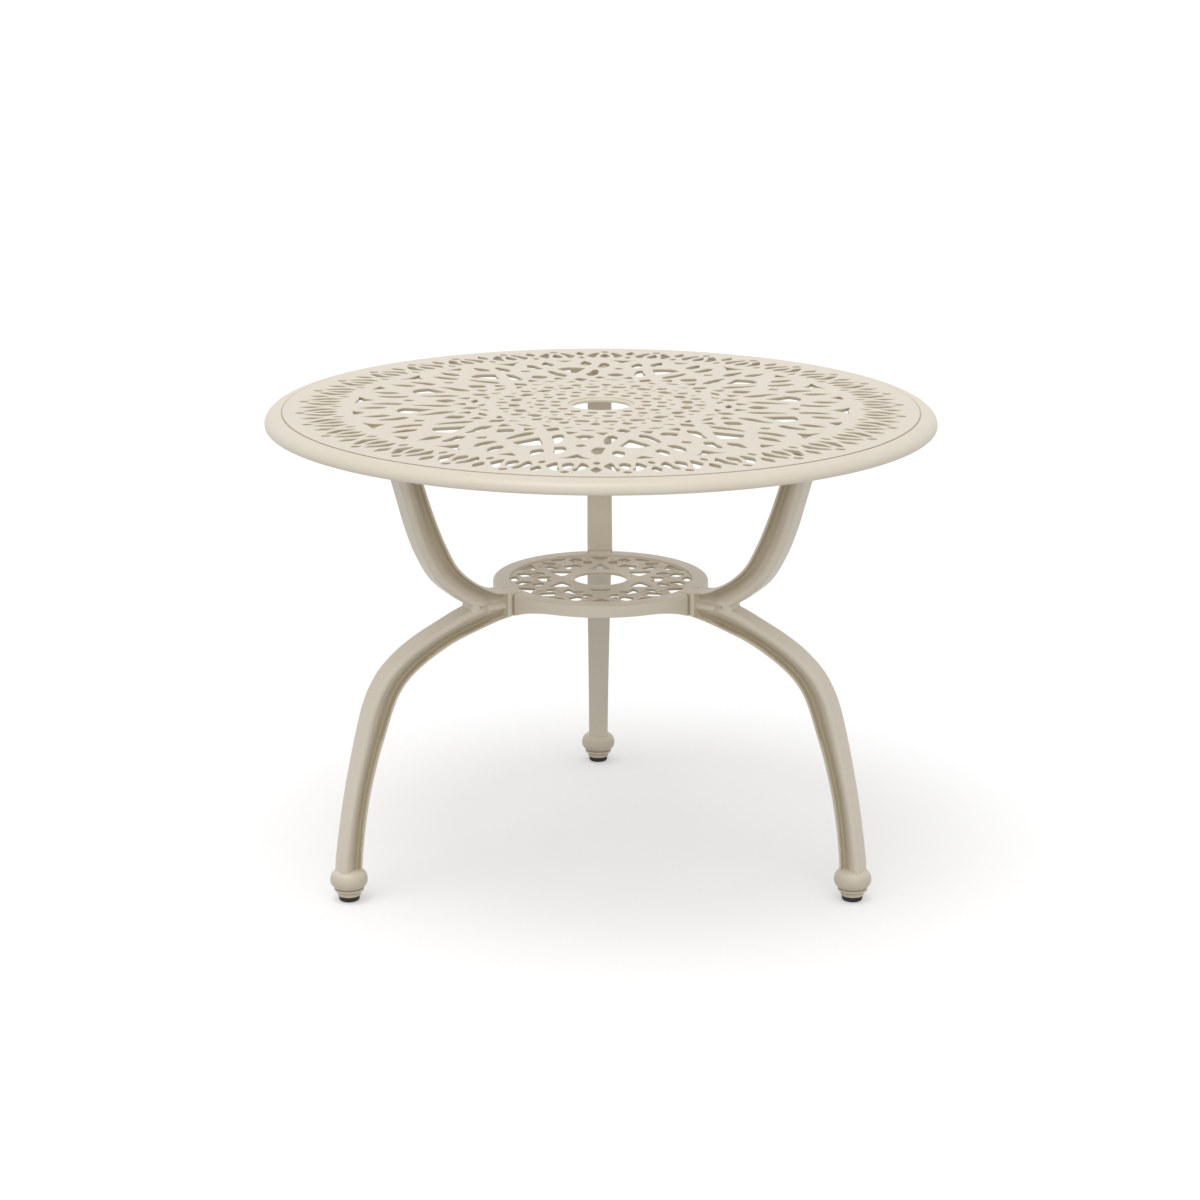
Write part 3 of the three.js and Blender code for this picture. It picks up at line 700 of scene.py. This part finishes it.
# %% The I-shaped cut face and the limbs
WEB_HALF = 7.5
HOLLOW_SHARE = 0.96
FORK_START = 204.0
FORK_END = 234.0
INNER_FLANGE = [(0, -2), (0.3, -1), (0.9, -0.3), (1.8, 0), (2.7, -0.3), (3.3, -1.2)]
INNER_COVE = [(3.6, 0.6), (4, 0.35), (4.8, 0.14), (6, 0.03), (7.5, 0)]
OUTER_FLANGE = [(0, -7), (0.6, -4.6), (2, -2.6), (4.2, -1.1), (6.8, -0.3), (9.4, -0.6)]
OUTER_COVE = [(12, 0.85), (15, 0.67), (18.5, 0.47), (22.5, 0.27), (26.5, 0.1), (29, 0.01)]


def ramp(value, start, end):
    """0 up to the start, 1 from the end on, and even between them."""
    return min(max((value - start) / (end - start), 0), 1)


def smooth(share):
    return share * share * (3 - 2 * share)


def cut_face(inner, outer):
    """The ring of points round the limb where its edges are these two points."""
    half = inner.z / 2
    start = Vector((inner.x, 0, inner.y))
    across = Vector((outer.x, 0, outer.y)) - start
    depth = across.length
    across.normalize()
    squeeze = min(1, depth * HOLLOW_SHARE / (INNER_COVE[-1][0] + OUTER_COVE[-1][0]))
    fork = ramp(outer.x, FORK_START, FORK_END)
    rise = (half - WEB_HALF) * smooth(fork)
    side = [(along * squeeze, half + out) for along, out in INNER_FLANGE]
    side += [(along * squeeze, WEB_HALF + part * (half - WEB_HALF)) for along, part in INNER_COVE]
    far = [(along, WEB_HALF + rise + out * fork) for along, out in OUTER_FLANGE]
    far += [(along, WEB_HALF + part * rise) for along, part in OUTER_COVE]
    side += [(depth - along * squeeze, out) for along, out in reversed(far)]
    ring = [(along, out) for along, out in side] + [(along, -out) for along, out in reversed(side)]
    return [start + across * along + Vector((0, out, 0)) for along, out in ring]


def limb(inner_edge, outer_edge, steps):
    edges = zip(smooth_line(inner_edge, steps), smooth_line(outer_edge, steps))
    return skin([cut_face(inner, outer) for inner, outer in edges])


print("points in the cut face:", len(cut_face(Vector(UPPER_INNER[0]), Vector(UPPER_OUTER[0]))))

# %% [markdown]
# ## Plates, bosses and joining
# The end plate, the flange under the top and the pads are blocks with soft edges, and the boss
# is a short turned rod laid along the leg. Booleans merge all these shells into one closed
# casting, so no face is left hidden inside.

# %% Rounded blocks, rods and one mesh from overlapping shells
def soft_block(low, high, edge, corner):
    """A block with soft top and bottom edges and rounded upright corners."""
    steps = ((0, 1), (0.08, 0.62), (0.3, 0.3), (0.62, 0.08), (1, 0))
    levels = [(low[2] + up * edge, inset * edge) for up, inset in steps]
    levels += [(high[2] - up * edge, inset * edge) for up, inset in reversed(steps)]
    rings = []
    for height, inset in levels:
        ring = []
        for k in range(20):
            quarter, step = divmod(k, 5)
            x, y = polar(corner - inset, math.radians(quarter * 90 + step * 22.5))
            x += high[0] - corner if quarter in (0, 3) else low[0] + corner
            y += high[1] - corner if quarter in (0, 1) else low[1] + corner
            ring.append((x, y, height))
        rings.append(ring)
    return skin(rings)


def lying_rod(outline, segments, height, bulge):
    """A turned shape laid along the leg: its outline is (radius, distance from the middle)."""
    rings = turned(outline, segments)
    return skin([[(along, x * bulge, height + y) for x, y, along in ring] for ring in rings])


def joined(whole, shells):
    """Merges closed shells into a piece, with nothing of them left inside it."""
    tools = [piece_of("tool", shell) for shell in shells]
    for tool in tools:
        join = whole.modifiers.new("join", "BOOLEAN")
        join.operation = "UNION"
        join.solver = "MANIFOLD"
        join.object = tool
    baked(whole)
    for tool in tools:
        bpy.data.objects.remove(tool)
    return whole


def round_table(shell, degrees):
    points, faces = shell
    turn = Matrix.Rotation(math.radians(degrees), 3, "Z")
    return [turn @ Vector(point) for point in points], faces


print("a soft block has", len(soft_block((0, 0, 0), (9, 9, 9), 1, 2)[1]), "faces")

# %% [markdown]
# The foot is a turned bell. From the floor up it has a short skirt round the glide, a fine
# ring, a step, a round belly and a soft shoulder, with grooves between them and a blind hole
# for the glide's stud. The belly is a smooth line again.

# %% The bell foot
FOOT_RADIUS = 460.0
FOOT_SEGMENTS = 72
STUD_HOLE = 5.3
bell_belly = smooth_line(
    [(21.7, 22.4), (24.8, 24), (27.5, 27.2), (29.3, 31.5), (29.6, 35.5), (28.7, 41), (25.8, 46.3),
     (20.6, 50), (14, 51.4)],
    30,
)
bell_outline = [
    (STUD_HOLE, 48), (STUD_HOLE, 12.8), (6.1, 12), (16.7, 12), (16.9, 11.7), (16.9, 9.3), (17.2, 9),
    (17.8, 9), (18.3, 9.4), (18.5, 10.2), (18.5, 13.4), (18.1, 14.3), (17.5, 14.8), (17.5, 15.5),
    (18.1, 16.1), (19.4, 16.4), (21.9, 16.6), (22.9, 17), (23.5, 17.9), (23.6, 19.4),
    (23.2, 20.5), (22.1, 21.1), (21.5, 21.7), *[tuple(point) for point in bell_belly], (8, 51.5),
]
bell = skin(turned(bell_outline, FOOT_SEGMENTS, FOOT_RADIUS))
print("bell foot:", len(bell[1]), "faces")

# %% [markdown]
# A casting has no sharp inner corners, so the fork has a round throat: a small wedge whose open
# side is an arc that touches both limbs, and that narrows towards the leg's two sides.

# %% The throat of the fork
THROAT = (250.3, 453.5)
THROAT_RADIUS = 6.0
THROAT_BACK = [(232, 450), (232, 455)]
throat_rings = []
throat_half = [(14, 0), (17, 0.7), (18.8, 2), (20, 4)]
for out, inset in [(-out, inset) for out, inset in reversed(throat_half)] + throat_half:
    reach = THROAT_RADIUS + inset
    open_side = arc(THROAT, reach, reach, 119, 248.6, 8)
    throat_rings.append([(along, out, height) for along, height in [*open_side, *THROAT_BACK]])
throat = skin(throat_rings)
print("throat faces:", len(throat[1]))

# %% Build a leg once and turn copies of it into place
SEAM_RADIUS = 174.0
SEAM_TOP = 470
SEAM_FOOT = 431
PLATE_FACE = 181.5
BOSS_HEIGHT = 446.5
BOSS_RADIUS = 9
BOSS_END = 216.5
BOSS_BULGE = 1.45
TOP_INNER = 347
TOP_OUTER = 387
TOP_HALF = 50
TOP_EDGES = (1.2, 4)
FLANGE_FOOT = 729.7
FLANGE_TOP = 735.7
boss_outline = [(BOSS_RADIUS, SEAM_RADIUS + 1), (BOSS_RADIUS, 208), (8.6, 211.4), (7.4, 214),
                (5.4, 215.7), (2.8, BOSS_END)]
leg_shells = [
    throat,
    limb(UPPER_INNER, UPPER_OUTER, 80),
    soft_block((SEAM_RADIUS, -21, SEAM_FOOT), (PLATE_FACE, 21, SEAM_TOP), 0.9, 1.6),
    lying_rod(boss_outline, 40, BOSS_HEIGHT, BOSS_BULGE),
    soft_block((TOP_INNER, -TOP_HALF, FLANGE_FOOT), (TOP_OUTER, TOP_HALF, FLANGE_TOP), *TOP_EDGES),
    bell,
]
lower_limb = limb(LOWER_INNER, LOWER_OUTER, 112)
pattern_leg = joined(piece_of("leg", lower_limb), leg_shells)
print("leg faces:", len(pattern_leg.data.polygons))

# %% [markdown]
# The inner flange keeps light off the web beside it, so shade is painted on the web: darkest
# there and paler towards the outer flange. The bell's grooves and its lower part get painted
# shade too. The distance from the inner edge is looked up in a tree of points along that edge,
# which finds the nearest one quickly.

# %% Paint shade into the legs' hollows
BELL_TOP = 52
BELL_SHADE = 0.3
FOOT_GROOVES = ((14.5, 15.9, 17, 17.9), (20.8, 22.5, 21, 22.2))
WEB_SHADE = 0.9
SHADE_END = 20
SHADE_FADE = 11
inner_points = smooth_line(UPPER_INNER, 400) + smooth_line(LOWER_INNER, 400)
inner_edges = KDTree(len(inner_points))
for index, edge_point in enumerate(inner_points):
    inner_edges.insert((edge_point.x, 0, edge_point.y), index)
inner_edges.balance()


# Painted shade on a leg: full in the bell's grooves, light on the bell's lower part, and on the web
# darkest beside the inner flange.
def painted_shade_on_leg(point):
    out = abs(point.y)
    if point.z < BELL_TOP:
        radius = math.hypot(point.x - FOOT_RADIUS, point.y)
        for foot, top, inner, outer in FOOT_GROOVES:
            if foot < point.z < top and inner < radius < outer:
                return 1
        return BELL_SHADE * ramp(BELL_TOP - point.z, 0, 10)
    near_boss = point.x < BOSS_END + 0.5 and abs(point.z - BOSS_HEIGHT) < BOSS_RADIUS + 0.5
    on_boss = near_boss and out > WEB_HALF + 0.5
    inward = inner_edges.find((point.x, 0, point.z))[2]
    if on_boss or point.x < PLATE_FACE + 0.5 or inward < 3.2:
        return 0
    return WEB_SHADE * ramp(SHADE_END - inward, 0, SHADE_FADE) * ramp(18 - out, 0, 3)


paint_shade(pattern_leg, painted_shade_on_leg)
for place, degrees in LEG_ANGLES.items():
    leg = linked("branching_leg_" + place, pattern_leg.data.copy())
    leg.data.transform(Matrix.Rotation(math.radians(degrees), 4, "Z"))
    finished(leg, cream_coat)
    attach(leg, "table_frame")
    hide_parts("leg_" + place)
bpy.data.objects.remove(pattern_leg)
print("faces of each leg:", len(leg.data.polygons))

# %% [markdown]
# Where a leg is bolted on, the top has a pad cast under it, thick enough for the threads. The
# pads join the openwork's underside here, and only then are the top's normals weighed.

# %% The pads under the top
PAD_FOOT = 736.0
PAD_TOP = 747
top_pad = soft_block((TOP_INNER, -TOP_HALF, PAD_FOOT), (TOP_OUTER, TOP_HALF, PAD_TOP), *TOP_EDGES)
joined(openwork_top, [round_table(top_pad, degrees) for degrees in LEG_ANGLES.values()])


def painted_shade_on_top(point):
    """Painted shade: dark right down the groove, and darker on opening walls below the shoulders."""
    radius = point.xy.length
    depth = RIM_TOP + crown_at(radius) - point.z
    if not LEDGE_RADIUS + 5 < radius < GROOVE_RADIUS + 2 or depth > BAR_DEPTH - 0.4:
        return 0
    if radius > GROOVE_RADIUS - GROOVE_BAND:
        return 1 if depth > 0.4 and radius < GROOVE_RADIUS + 1 else 0
    return ramp(depth, 0.7, 2.2)


paint_shade(openwork_top, painted_shade_on_top)
finished(openwork_top, cream_coat)
print("tabletop faces:", len(openwork_top.data.polygons))

# %% [markdown]
# ## Shelf
# The shelf has a broad soft rim, an apron that dips into a lug at each leg, and a thinner
# openwork plate a few millimetres lower. The rim is one cut face carried round the circle, and
# the lugs come from changing that face as it nears a leg.

# %% The shelf's rim and lugs
SHELF_TOP = 467.5
SHELF_RADIUS = 174.5
BAND_INNER = 148.0
BAND_FOOT = SHELF_TOP - 8
LUG_EDGE = 0.115
LUG_FADE = 0.575
LUG_FACE = 173.7
LUG_INNER = 149.7
LUG_WALL = 24
WALL_FADE = 0.2
APRON_WALL = 6
APRON_FOOT = 447.4
SEAM_HALF = 0.02
SEAM_DEPTH = 3.4
LUG_SHARES = [0, 0.04, 0.075, 0.092, 0.1, 0.107, 0.1149, 0.1151, 0.121, 0.128, 0.136, 0.155, 0.178]
RIM_SHARES = LUG_SHARES + [0.2 + 0.025 * k for k in range(32)]


def fade(share, end):
    """From 0 at the lug's edge to 1 at the end, quickly first and slowly last."""
    left = 1 - ramp(share, LUG_EDGE, end)
    return 1 - left * left


def rim_face(share):
    """The rim's cut face, where share is 0 at the middle of a leg and 1 halfway between legs."""
    half = math.pi / 3
    at_leg = share <= LUG_EDGE
    outer = min(SHELF_RADIUS, LUG_FACE / math.cos(share * half)) if at_leg else SHELF_RADIUS
    outer -= SEAM_DEPTH * smooth(max(1 - abs(share - LUG_EDGE) / SEAM_HALF, 0))
    foot = SEAM_FOOT + (APRON_FOOT - SEAM_FOOT) * fade(share, LUG_FADE)
    wall = LUG_WALL - (LUG_WALL - APRON_WALL) * fade(share, WALL_FADE)
    inner = LUG_INNER / math.cos(share * half) if at_leg else outer - wall
    face = [
        (BAND_INNER, SHELF_TOP - 1.6), (BAND_INNER, BAND_FOOT + 0.8), (BAND_INNER + 0.8, BAND_FOOT),
        (inner - 0.8, BAND_FOOT), (inner, BAND_FOOT - 0.8), (inner, foot + 1.2),
        (inner + 0.35, foot + 0.35), (inner + 1.2, foot), (outer - 1.6, foot),
        (outer - 0.5, foot + 0.5), (outer, foot + 1.6), (outer, SHELF_TOP - 5),
    ]
    face += arc((outer - 5, SHELF_TOP - 5), 5, 5, 15, 90, 5)
    face += [(BAND_INNER + 1.6, SHELF_TOP), (BAND_INNER + 0.5, SHELF_TOP - 0.5)]
    return face


rim_rings = []
for degrees in LEG_ANGLES.values():
    for share in [-share for share in reversed(RIM_SHARES)] + RIM_SHARES[1:] + [1]:
        angle = math.radians(degrees + share * 60)
        rim_rings.append([(*polar(radius, angle), height) for radius, height in rim_face(abs(share))])
shelf_rim = skin(rim_rings, loop=True)
print("shelf rim:", len(shelf_rim[1]), "faces")

# %% The shelf's plate and its openings
PLATE_TOP = 464.5
PLATE_FOOT = 460.5
plate_outline = [
    (43, 461.2), (43, 464.6), (43.5, 465.5), (44.6, 466), (46.4, 466), (47.6, 465.6), (48.6, 464.8),
    (49.8, PLATE_TOP), *[(radius, PLATE_TOP) for radius in range(60, 153, 23)],
    (152, PLATE_FOOT), *[(radius, PLATE_FOOT) for radius in range(129, 50, -23)], (43.7, PLATE_FOOT),
]
MOON = [(-10, 80.5), (0, 89.5), (10, 80.5), (7.5, 101), (-7.5, 101)]
CURL = [(14, 96), (21, 98), (23, 112), (17, 120)]
PLATE_TEAR = [(6, 127), (11.2, 110), (17.4, 127.5), (12.6, 141)]
RIM_CELL = [(-6.5, 141), (0, 132), (6.5, 141), (0, 147.5)]
PLATE_TRIANGLE = [(15.5, 65.5), (30, 61.5), (44.5, 65.5), (30, 96.5)]
CORNER = [(22, 144.5), (30, 121), (38, 144.5)]
SHELF_ROWS = {
    "scrolls": (6, 0, 0.9, 1.2, [MOON, RIM_CELL, PLATE_TRIANGLE, CORNER], [CURL, PLATE_TEAR]),
}
plate = piece_of("plate", skin(turned(plate_outline, 144), loop=True))
cut_rows(plate, SHELF_ROWS, PLATE_TOP, PLATE_TOP - PLATE_FOOT, lambda radius: 0)
print("plate faces:", len(plate.data.polygons))

# %% [markdown]
# Raised scrolls lie on the shelf's bars, as half-round beads that follow a curl. A Geometry
# Nodes tree makes them: the path becomes a tube, and the tube is repeated round the shelf. The
# curl is a line that winds in on itself, written by its own formula.

# %% A tree that turns a path into beads round the middle
bead_inputs = [("Bead radius", "NodeSocketFloat", 0.002), ("Count", "NodeSocketInt", 6)]
bead_tree, given, end = geometry_tree("Beads round the middle", bead_inputs)
path = made_by(bead_tree, "GeometryNodeMeshToCurve", {"Mesh": given["Geometry"]})
inputs = {"Resolution": 10, "Radius": given["Bead radius"]}
profile = made_by(bead_tree, "GeometryNodeCurvePrimitiveCircle", inputs)
inputs = {"Curve": path, "Profile Curve": profile, "Fill Caps": True}
tube = made_by(bead_tree, "GeometryNodeCurveToMesh", inputs)
end_tree(bead_tree, given, end, copies_round(bead_tree, given["Count"], 0.0, tube))
print("tree:", bead_tree.name, "nodes:", len(bead_tree.nodes))

# %% The scrolls, and the shelf as one piece
BEAD_RADIUS = 2.1
BEAD_SINK = 0.35
CURL_STEPS = 26
CURL_DRAWN_IN = 0.62
# Each curl has its eye's azimuth and distance, its reach, and its first angle and whole turn.
CURLS = ((21.5, 126, 10.5, 200, 400), (9.5, 104.5, 8.5, -40, 380))


def curl(degrees, radius, reach, start, turn, side):
    """Points of a scroll round one eye: it winds in from reach to about a third of it."""
    angle = side * math.radians(degrees)
    eye = Vector(polar(radius, angle))
    points = []
    for k in range(CURL_STEPS + 1):
        t = k / CURL_STEPS
        heading = angle + side * math.radians(start + turn * t)
        points.append(eye + Vector(polar(reach * (1 - CURL_DRAWN_IN * t), heading)))
    return [(point.x, point.y, PLATE_TOP - BEAD_SINK) for point in points]


scroll_paths = [curl(*shape, side) for side in (1, -1) for shape in CURLS]
path_mesh = bpy.data.meshes.new("scroll paths")
path_points = [Vector(point) * MM for path in scroll_paths for point in path]
path_edges = [(k, k + 1) for k in range(len(path_points) - 1) if (k + 1) % (CURL_STEPS + 1)]
path_mesh.from_pydata(path_points, path_edges, [])
scrolls = linked("scrolls", path_mesh)
values = {"Bead radius": BEAD_RADIUS * MM, "Count": 6, "Finish": cream_coat}
run_tree(scrolls, bead_tree, values)
baked(scrolls)
scrolled_shelf = piece_of("scrolled_shelf", shelf_rim)


def absorb(piece, *others):
    """Adds the meshes of other pieces to this one and removes them."""
    work = bmesh.new()
    work.from_mesh(piece.data)
    for other in others:
        work.from_mesh(other.data)
        bpy.data.objects.remove(other)
    work.to_mesh(piece.data)
    work.free()


absorb(scrolled_shelf, plate, scrolls)


def painted_shade_on_shelf(point):
    """Painted shade, dark in the seams between shelf and legs and on the plate's opening walls."""
    azimuth = math.degrees(math.atan2(point.y, point.x))
    share = abs((azimuth - 30) % 120 - 60) / 60
    radius = point.xy.length
    if radius > BAND_INNER + 15 and abs(share - LUG_EDGE) < 0.012:
        return 1
    if radius > BAND_INNER or point.z < PLATE_TOP - 3.6:
        return 0
    return ramp(PLATE_TOP + 0.5 - point.z, 0, 1.6)


paint_shade(scrolled_shelf, painted_shade_on_shelf)
finished(scrolled_shelf, cream_coat)
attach(scrolled_shelf, "table_frame")
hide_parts("lower_shelf")
print("shelf faces:", len(scrolled_shelf.data.polygons))

# %% [markdown]
# ## Bolts and washers
# Two bolts hold each leg under the top, and a longer one holds it to the shelf. All have the
# same hexagon head and washer, so a Geometry Nodes tree puts copies of one bolt on points. Each
# point carries the way its bolt faces, and a fixed seed turns every head a little, because
# nobody lines up the flats of a bolt.

# %% One bolt with its washer, from the washer's seat upwards
HEAD_HEIGHT = 5.3
WASHER = 1.6
FLAT_HALF = 6.5


def hexagon(radius, height, share):
    """The flats of the head, or the radius where its round ends lie inside them."""
    angle = (2 * math.pi * share + math.pi / 6) % (math.pi / 3) - math.pi / 6
    return min(FLAT_HALF / math.cos(angle), radius)


def bolt_shells(length):
    """The head hangs below the washer, and the shank rises through it."""
    head = [(5.6, -HEAD_HEIGHT), (6.1, -HEAD_HEIGHT + 0.1), (7.5, -HEAD_HEIGHT + 0.9), (7.5, -0.3),
            (7, 0)]
    washer = [(4.4, 0.1), (7.6, 0.1), (8, 0.4), (8, WASHER - 0.3), (7.7, WASHER), (4.4, WASHER)]
    shank = [(4, -1), (4, length - 1), (3.2, length)]
    head_rings = turned(head, 36, reach=hexagon)
    return [skin(head_rings), skin(turned(washer, 28), loop=True), skin(turned(shank, 20))]


print("bolt faces:", sum(len(faces) for _, faces in bolt_shells(12)))

# %% The tree that sets bolts on points
bolt_inputs = [("Bolt", "NodeSocketObject", None), ("Seed", "NodeSocketInt", 4)]
bolt_tree, given, end = geometry_tree("Bolts on points", bolt_inputs)
bolt = add_node(bolt_tree, "GeometryNodeObjectInfo", {"Object": given["Bolt"]})
inputs = {"Name": "facing"}
facing = add_node(bolt_tree, "GeometryNodeInputNamedAttribute", inputs, data_type="FLOAT_VECTOR")
inputs = {"Euler": facing.outputs["Attribute"]}
turn = made_by(bolt_tree, "FunctionNodeEulerToRotation", inputs)
inputs = {"Points": given["Geometry"], "Instance": bolt.outputs["Geometry"], "Rotation": turn}
copies = made_by(bolt_tree, "GeometryNodeInstanceOnPoints", inputs)
inputs = {3: math.radians(60), "Seed": given["Seed"]}
by_hand = add_node(bolt_tree, "FunctionNodeRandomValue", inputs).outputs[1]
spin = rotation_about_z(bolt_tree, by_hand)
inputs = {"Instances": copies, "Rotation": spin, "Local Space": True}
end_tree(bolt_tree, given, end, made_by(bolt_tree, "GeometryNodeRotateInstances", inputs))
print("tree:", bolt_tree.name, "nodes:", len(bolt_tree.nodes))

# %% Place the bolts
SEAT_GAP = 0.3
TOP_BOLT_SEAT = FLANGE_FOOT - WASHER
TOP_BOLT_RADIUS = (TOP_INNER + TOP_OUTER) / 2
TOP_BOLT_HALF = 36
TOP_BOLT_LENGTH = 11.6
SHELF_BOLT_LENGTH = 49.6
SHELF_BOLT_SEAT = LUG_INNER - SEAT_GAP - WASHER


def around(degrees, *spot):
    return Matrix.Rotation(math.radians(degrees), 3, "Z") @ Vector(spot) * MM


def set_bolts(name, length, spots):
    pattern = bpy.data.objects.new("bolt", mesh_of("bolt", bolt_shells(length)))
    mesh = bpy.data.meshes.new(name)
    mesh.from_pydata([spot for spot, _ in spots], [], [])
    ways = mesh.attributes.new("facing", "FLOAT_VECTOR", "POINT")
    for k, (_, way) in enumerate(spots):
        ways.data[k].vector = way
    bolts = linked(name, mesh)
    run_tree(bolts, bolt_tree, {"Bolt": pattern, "Seed": 4, "Finish": zinc_plate})
    baked(bolts)
    bpy.data.objects.remove(pattern)
    return finished(bolts, zinc_plate, 30)


top_spots = []
shelf_spots = []
for degrees in LEG_ANGLES.values():
    for across in (-TOP_BOLT_HALF, TOP_BOLT_HALF):
        spot = around(degrees, TOP_BOLT_RADIUS, across, TOP_BOLT_SEAT)
        top_spots.append((spot, (0, 0, 0)))
    sideways = (0, math.pi / 2, math.radians(degrees))
    shelf_spots.append((around(degrees, SHELF_BOLT_SEAT, 0, BOSS_HEIGHT), sideways))
top_bolts = set_bolts("leg_bolts", TOP_BOLT_LENGTH, top_spots)
shelf_bolts = set_bolts("shelf_bolts", SHELF_BOLT_LENGTH, shelf_spots)
for place in LEG_ANGLES:
    for number in ("_1", "_2"):
        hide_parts("top_bolt_" + place + number, "top_washer_" + place + number)
    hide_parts("shelf_bolt_" + place, "shelf_washer_" + place)
for bolts in (top_bolts, shelf_bolts):
    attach(bolts, "table_frame")
print("bolt faces:", len(top_bolts.data.polygons), len(shelf_bolts.data.polygons))

# %% [markdown]
# ## Levelling glides
# Each foot stands on a black glide whose threaded stud screws into the bell, to meet an uneven
# floor. The pad is turned, with a soft foot and a fine parting line, and the thread is a grid
# of points whose radius rises and falls as it winds up the stud.

# %% The pads and the threaded studs
GLIDE_TOP = 11.7
STUD_FOOT = 4.3
STUD_TOP = 42
STUD_RADIUS = 5
THREAD_PITCH = 1.5
THREAD_DEPTH = 0.8
THREAD_LEVELS = 6
END_LENGTH = 1.5
END_TAPER = 0.6
pad_outline = [
    (STUD_HOLE, 4), (STUD_HOLE, GLIDE_TOP - 0.5), (5.8, GLIDE_TOP), (15.4, GLIDE_TOP),
    (16.1, GLIDE_TOP - 0.3), (16.4, GLIDE_TOP - 1), (16.45, 7.4), (16.25, 7.2), (16.25, 7),
    (16.5, 6.8), (16.4, 3.2), (16, 1.8), (15.1, 0.7), (13.9, 0.1), (12.8, 0),
]


def thread(radius, height, share):
    phase = (height / THREAD_PITCH - share) % 1
    taper = END_TAPER * (1 - min(1, (STUD_TOP - height) / END_LENGTH))
    return radius - THREAD_DEPTH * abs(phase * 2 - 1) - taper


pad = skin(turned(pad_outline, FOOT_SEGMENTS, FOOT_RADIUS))
levels = round((STUD_TOP - STUD_FOOT) / THREAD_PITCH * THREAD_LEVELS)
stud_outline = [(STUD_RADIUS, STUD_FOOT + (STUD_TOP - STUD_FOOT) * i / levels)
                for i in range(levels + 1)]
stud = skin(turned(stud_outline, 24, FOOT_RADIUS, thread))
print("pad faces:", len(pad[1]), "stud faces:", len(stud[1]))

# %% Put a glide under each leg
# Each piece has its shell, its finish, its node, its slot and the angle that stays sharp.
GLIDE_PIECES = {
    "round_glide_": (pad, black_plastic, "glide_pad_", "black_plastic", 40),
    "threaded_stud_": (stud, zinc_plate, "glide_stud_", "zinc_steel", 50),
}
for place, degrees in LEG_ANGLES.items():
    for name, (shell, finish, node, slot, angle) in GLIDE_PIECES.items():
        piece = piece_of(name + place, shell)
        piece.data.transform(Matrix.Rotation(math.radians(degrees), 4, "Z"))
        finished(piece, finish, angle)
        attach(piece, "glide_" + place)
        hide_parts(node + place)
print("glides placed:", len(LEG_ANGLES))

# %% [markdown]
# ## Floor and light
# The photograph has a plain white floor with one soft shadow. The floor here lights the table
# like any pale floor. Only where the camera, a mirror or glass looks at it, it is paler and has
# a little plain white added, so it reads as white and keeps a faint shadow, with no more light
# on the table. Two very wide suns stand for a window and a reflector: their light is the same
# everywhere and their shadows are soft.

# %% The floor
FLOOR_HALF = 30.0
FLOOR_GREY = 0.55
FLOOR_SEEN_GREY = 0.7
FLOOR_SEEN_WHITE = 0.36


def grey(tree, level):
    return add_node(tree, "ShaderNodeBsdfDiffuse", {"Color": (level, level, level, 1)})


def where_seen(tree, seen, other, end):
    """One shader for camera, glossy and transmission rays, and another for all other rays."""
    path = add_node(tree, "ShaderNodeLightPath").outputs
    looked_at = path["Is Camera Ray"]
    for name in ("Is Glossy Ray", "Is Transmission Ray"):
        looked_at = add_math(tree, "MAXIMUM", looked_at, path[name])
    inputs = {0: looked_at, 1: other.outputs[0], 2: seen.outputs[0]}
    choice = made_by(tree, "ShaderNodeMixShader", inputs)
    add_node(tree, end, {"Surface": choice})


floor_mesh = bpy.data.meshes.new("floor")
floor_points = [(x * FLOOR_HALF, y * FLOOR_HALF, 0)
                for x, y in ((-1, -1), (1, -1), (1, 1), (-1, 1))]
floor_mesh.from_pydata(floor_points, [], [(0, 1, 2, 3)])
floor = linked("floor", floor_mesh)
floor_finish = bpy.data.materials.new("pale floor")
floor_finish.use_nodes = True
floor_tree = floor_finish.node_tree
floor_tree.nodes.clear()
floor_white = made_by(floor_tree, "ShaderNodeEmission", {"Strength": FLOOR_SEEN_WHITE})
floor_grey = grey(floor_tree, FLOOR_SEEN_GREY).outputs[0]
floor_seen = add_node(floor_tree, "ShaderNodeAddShader", {0: floor_grey, 1: floor_white})
where_seen(floor_tree, floor_seen, grey(floor_tree, FLOOR_GREY), "ShaderNodeOutputMaterial")
floor.data.materials.append(floor_finish)
print("floor half width", FLOOR_HALF, "m")

# %% The suns and the world
# Each sun has the way towards it, its width in degrees and its strength.
WORLD_LIGHT = 0.6
WHITE = (1, 1, 1, 1)
SUNS = {
    "window": (Vector((-0.13, -0.17, 0.977)), 30, 1.05),
    "reflector": (Vector((0.05, -0.93, 0.36)), 60, 0.55),
}
for name, (towards, width, strength) in SUNS.items():
    sun_data = bpy.data.lights.new(name, "SUN")
    sun_data.angle = math.radians(width)
    sun_data.energy = strength
    sun = linked(name, sun_data)
    sun.rotation_euler = towards.to_track_quat("Z", "Y").to_euler()

world = bpy.data.worlds.new("studio")
world.use_nodes = True
sky = world.node_tree
sky.nodes.clear()
sky_light = add_node(sky, "ShaderNodeBackground", {"Color": WHITE, "Strength": WORLD_LIGHT})
sky_white = add_node(sky, "ShaderNodeBackground", {"Color": WHITE, "Strength": 1.0})
where_seen(sky, sky_white, sky_light, "ShaderNodeOutputWorld")
scene.world = world
scene.view_settings.view_transform = "Standard"
print("suns:", sorted(SUNS), "world:", WORLD_LIGHT)
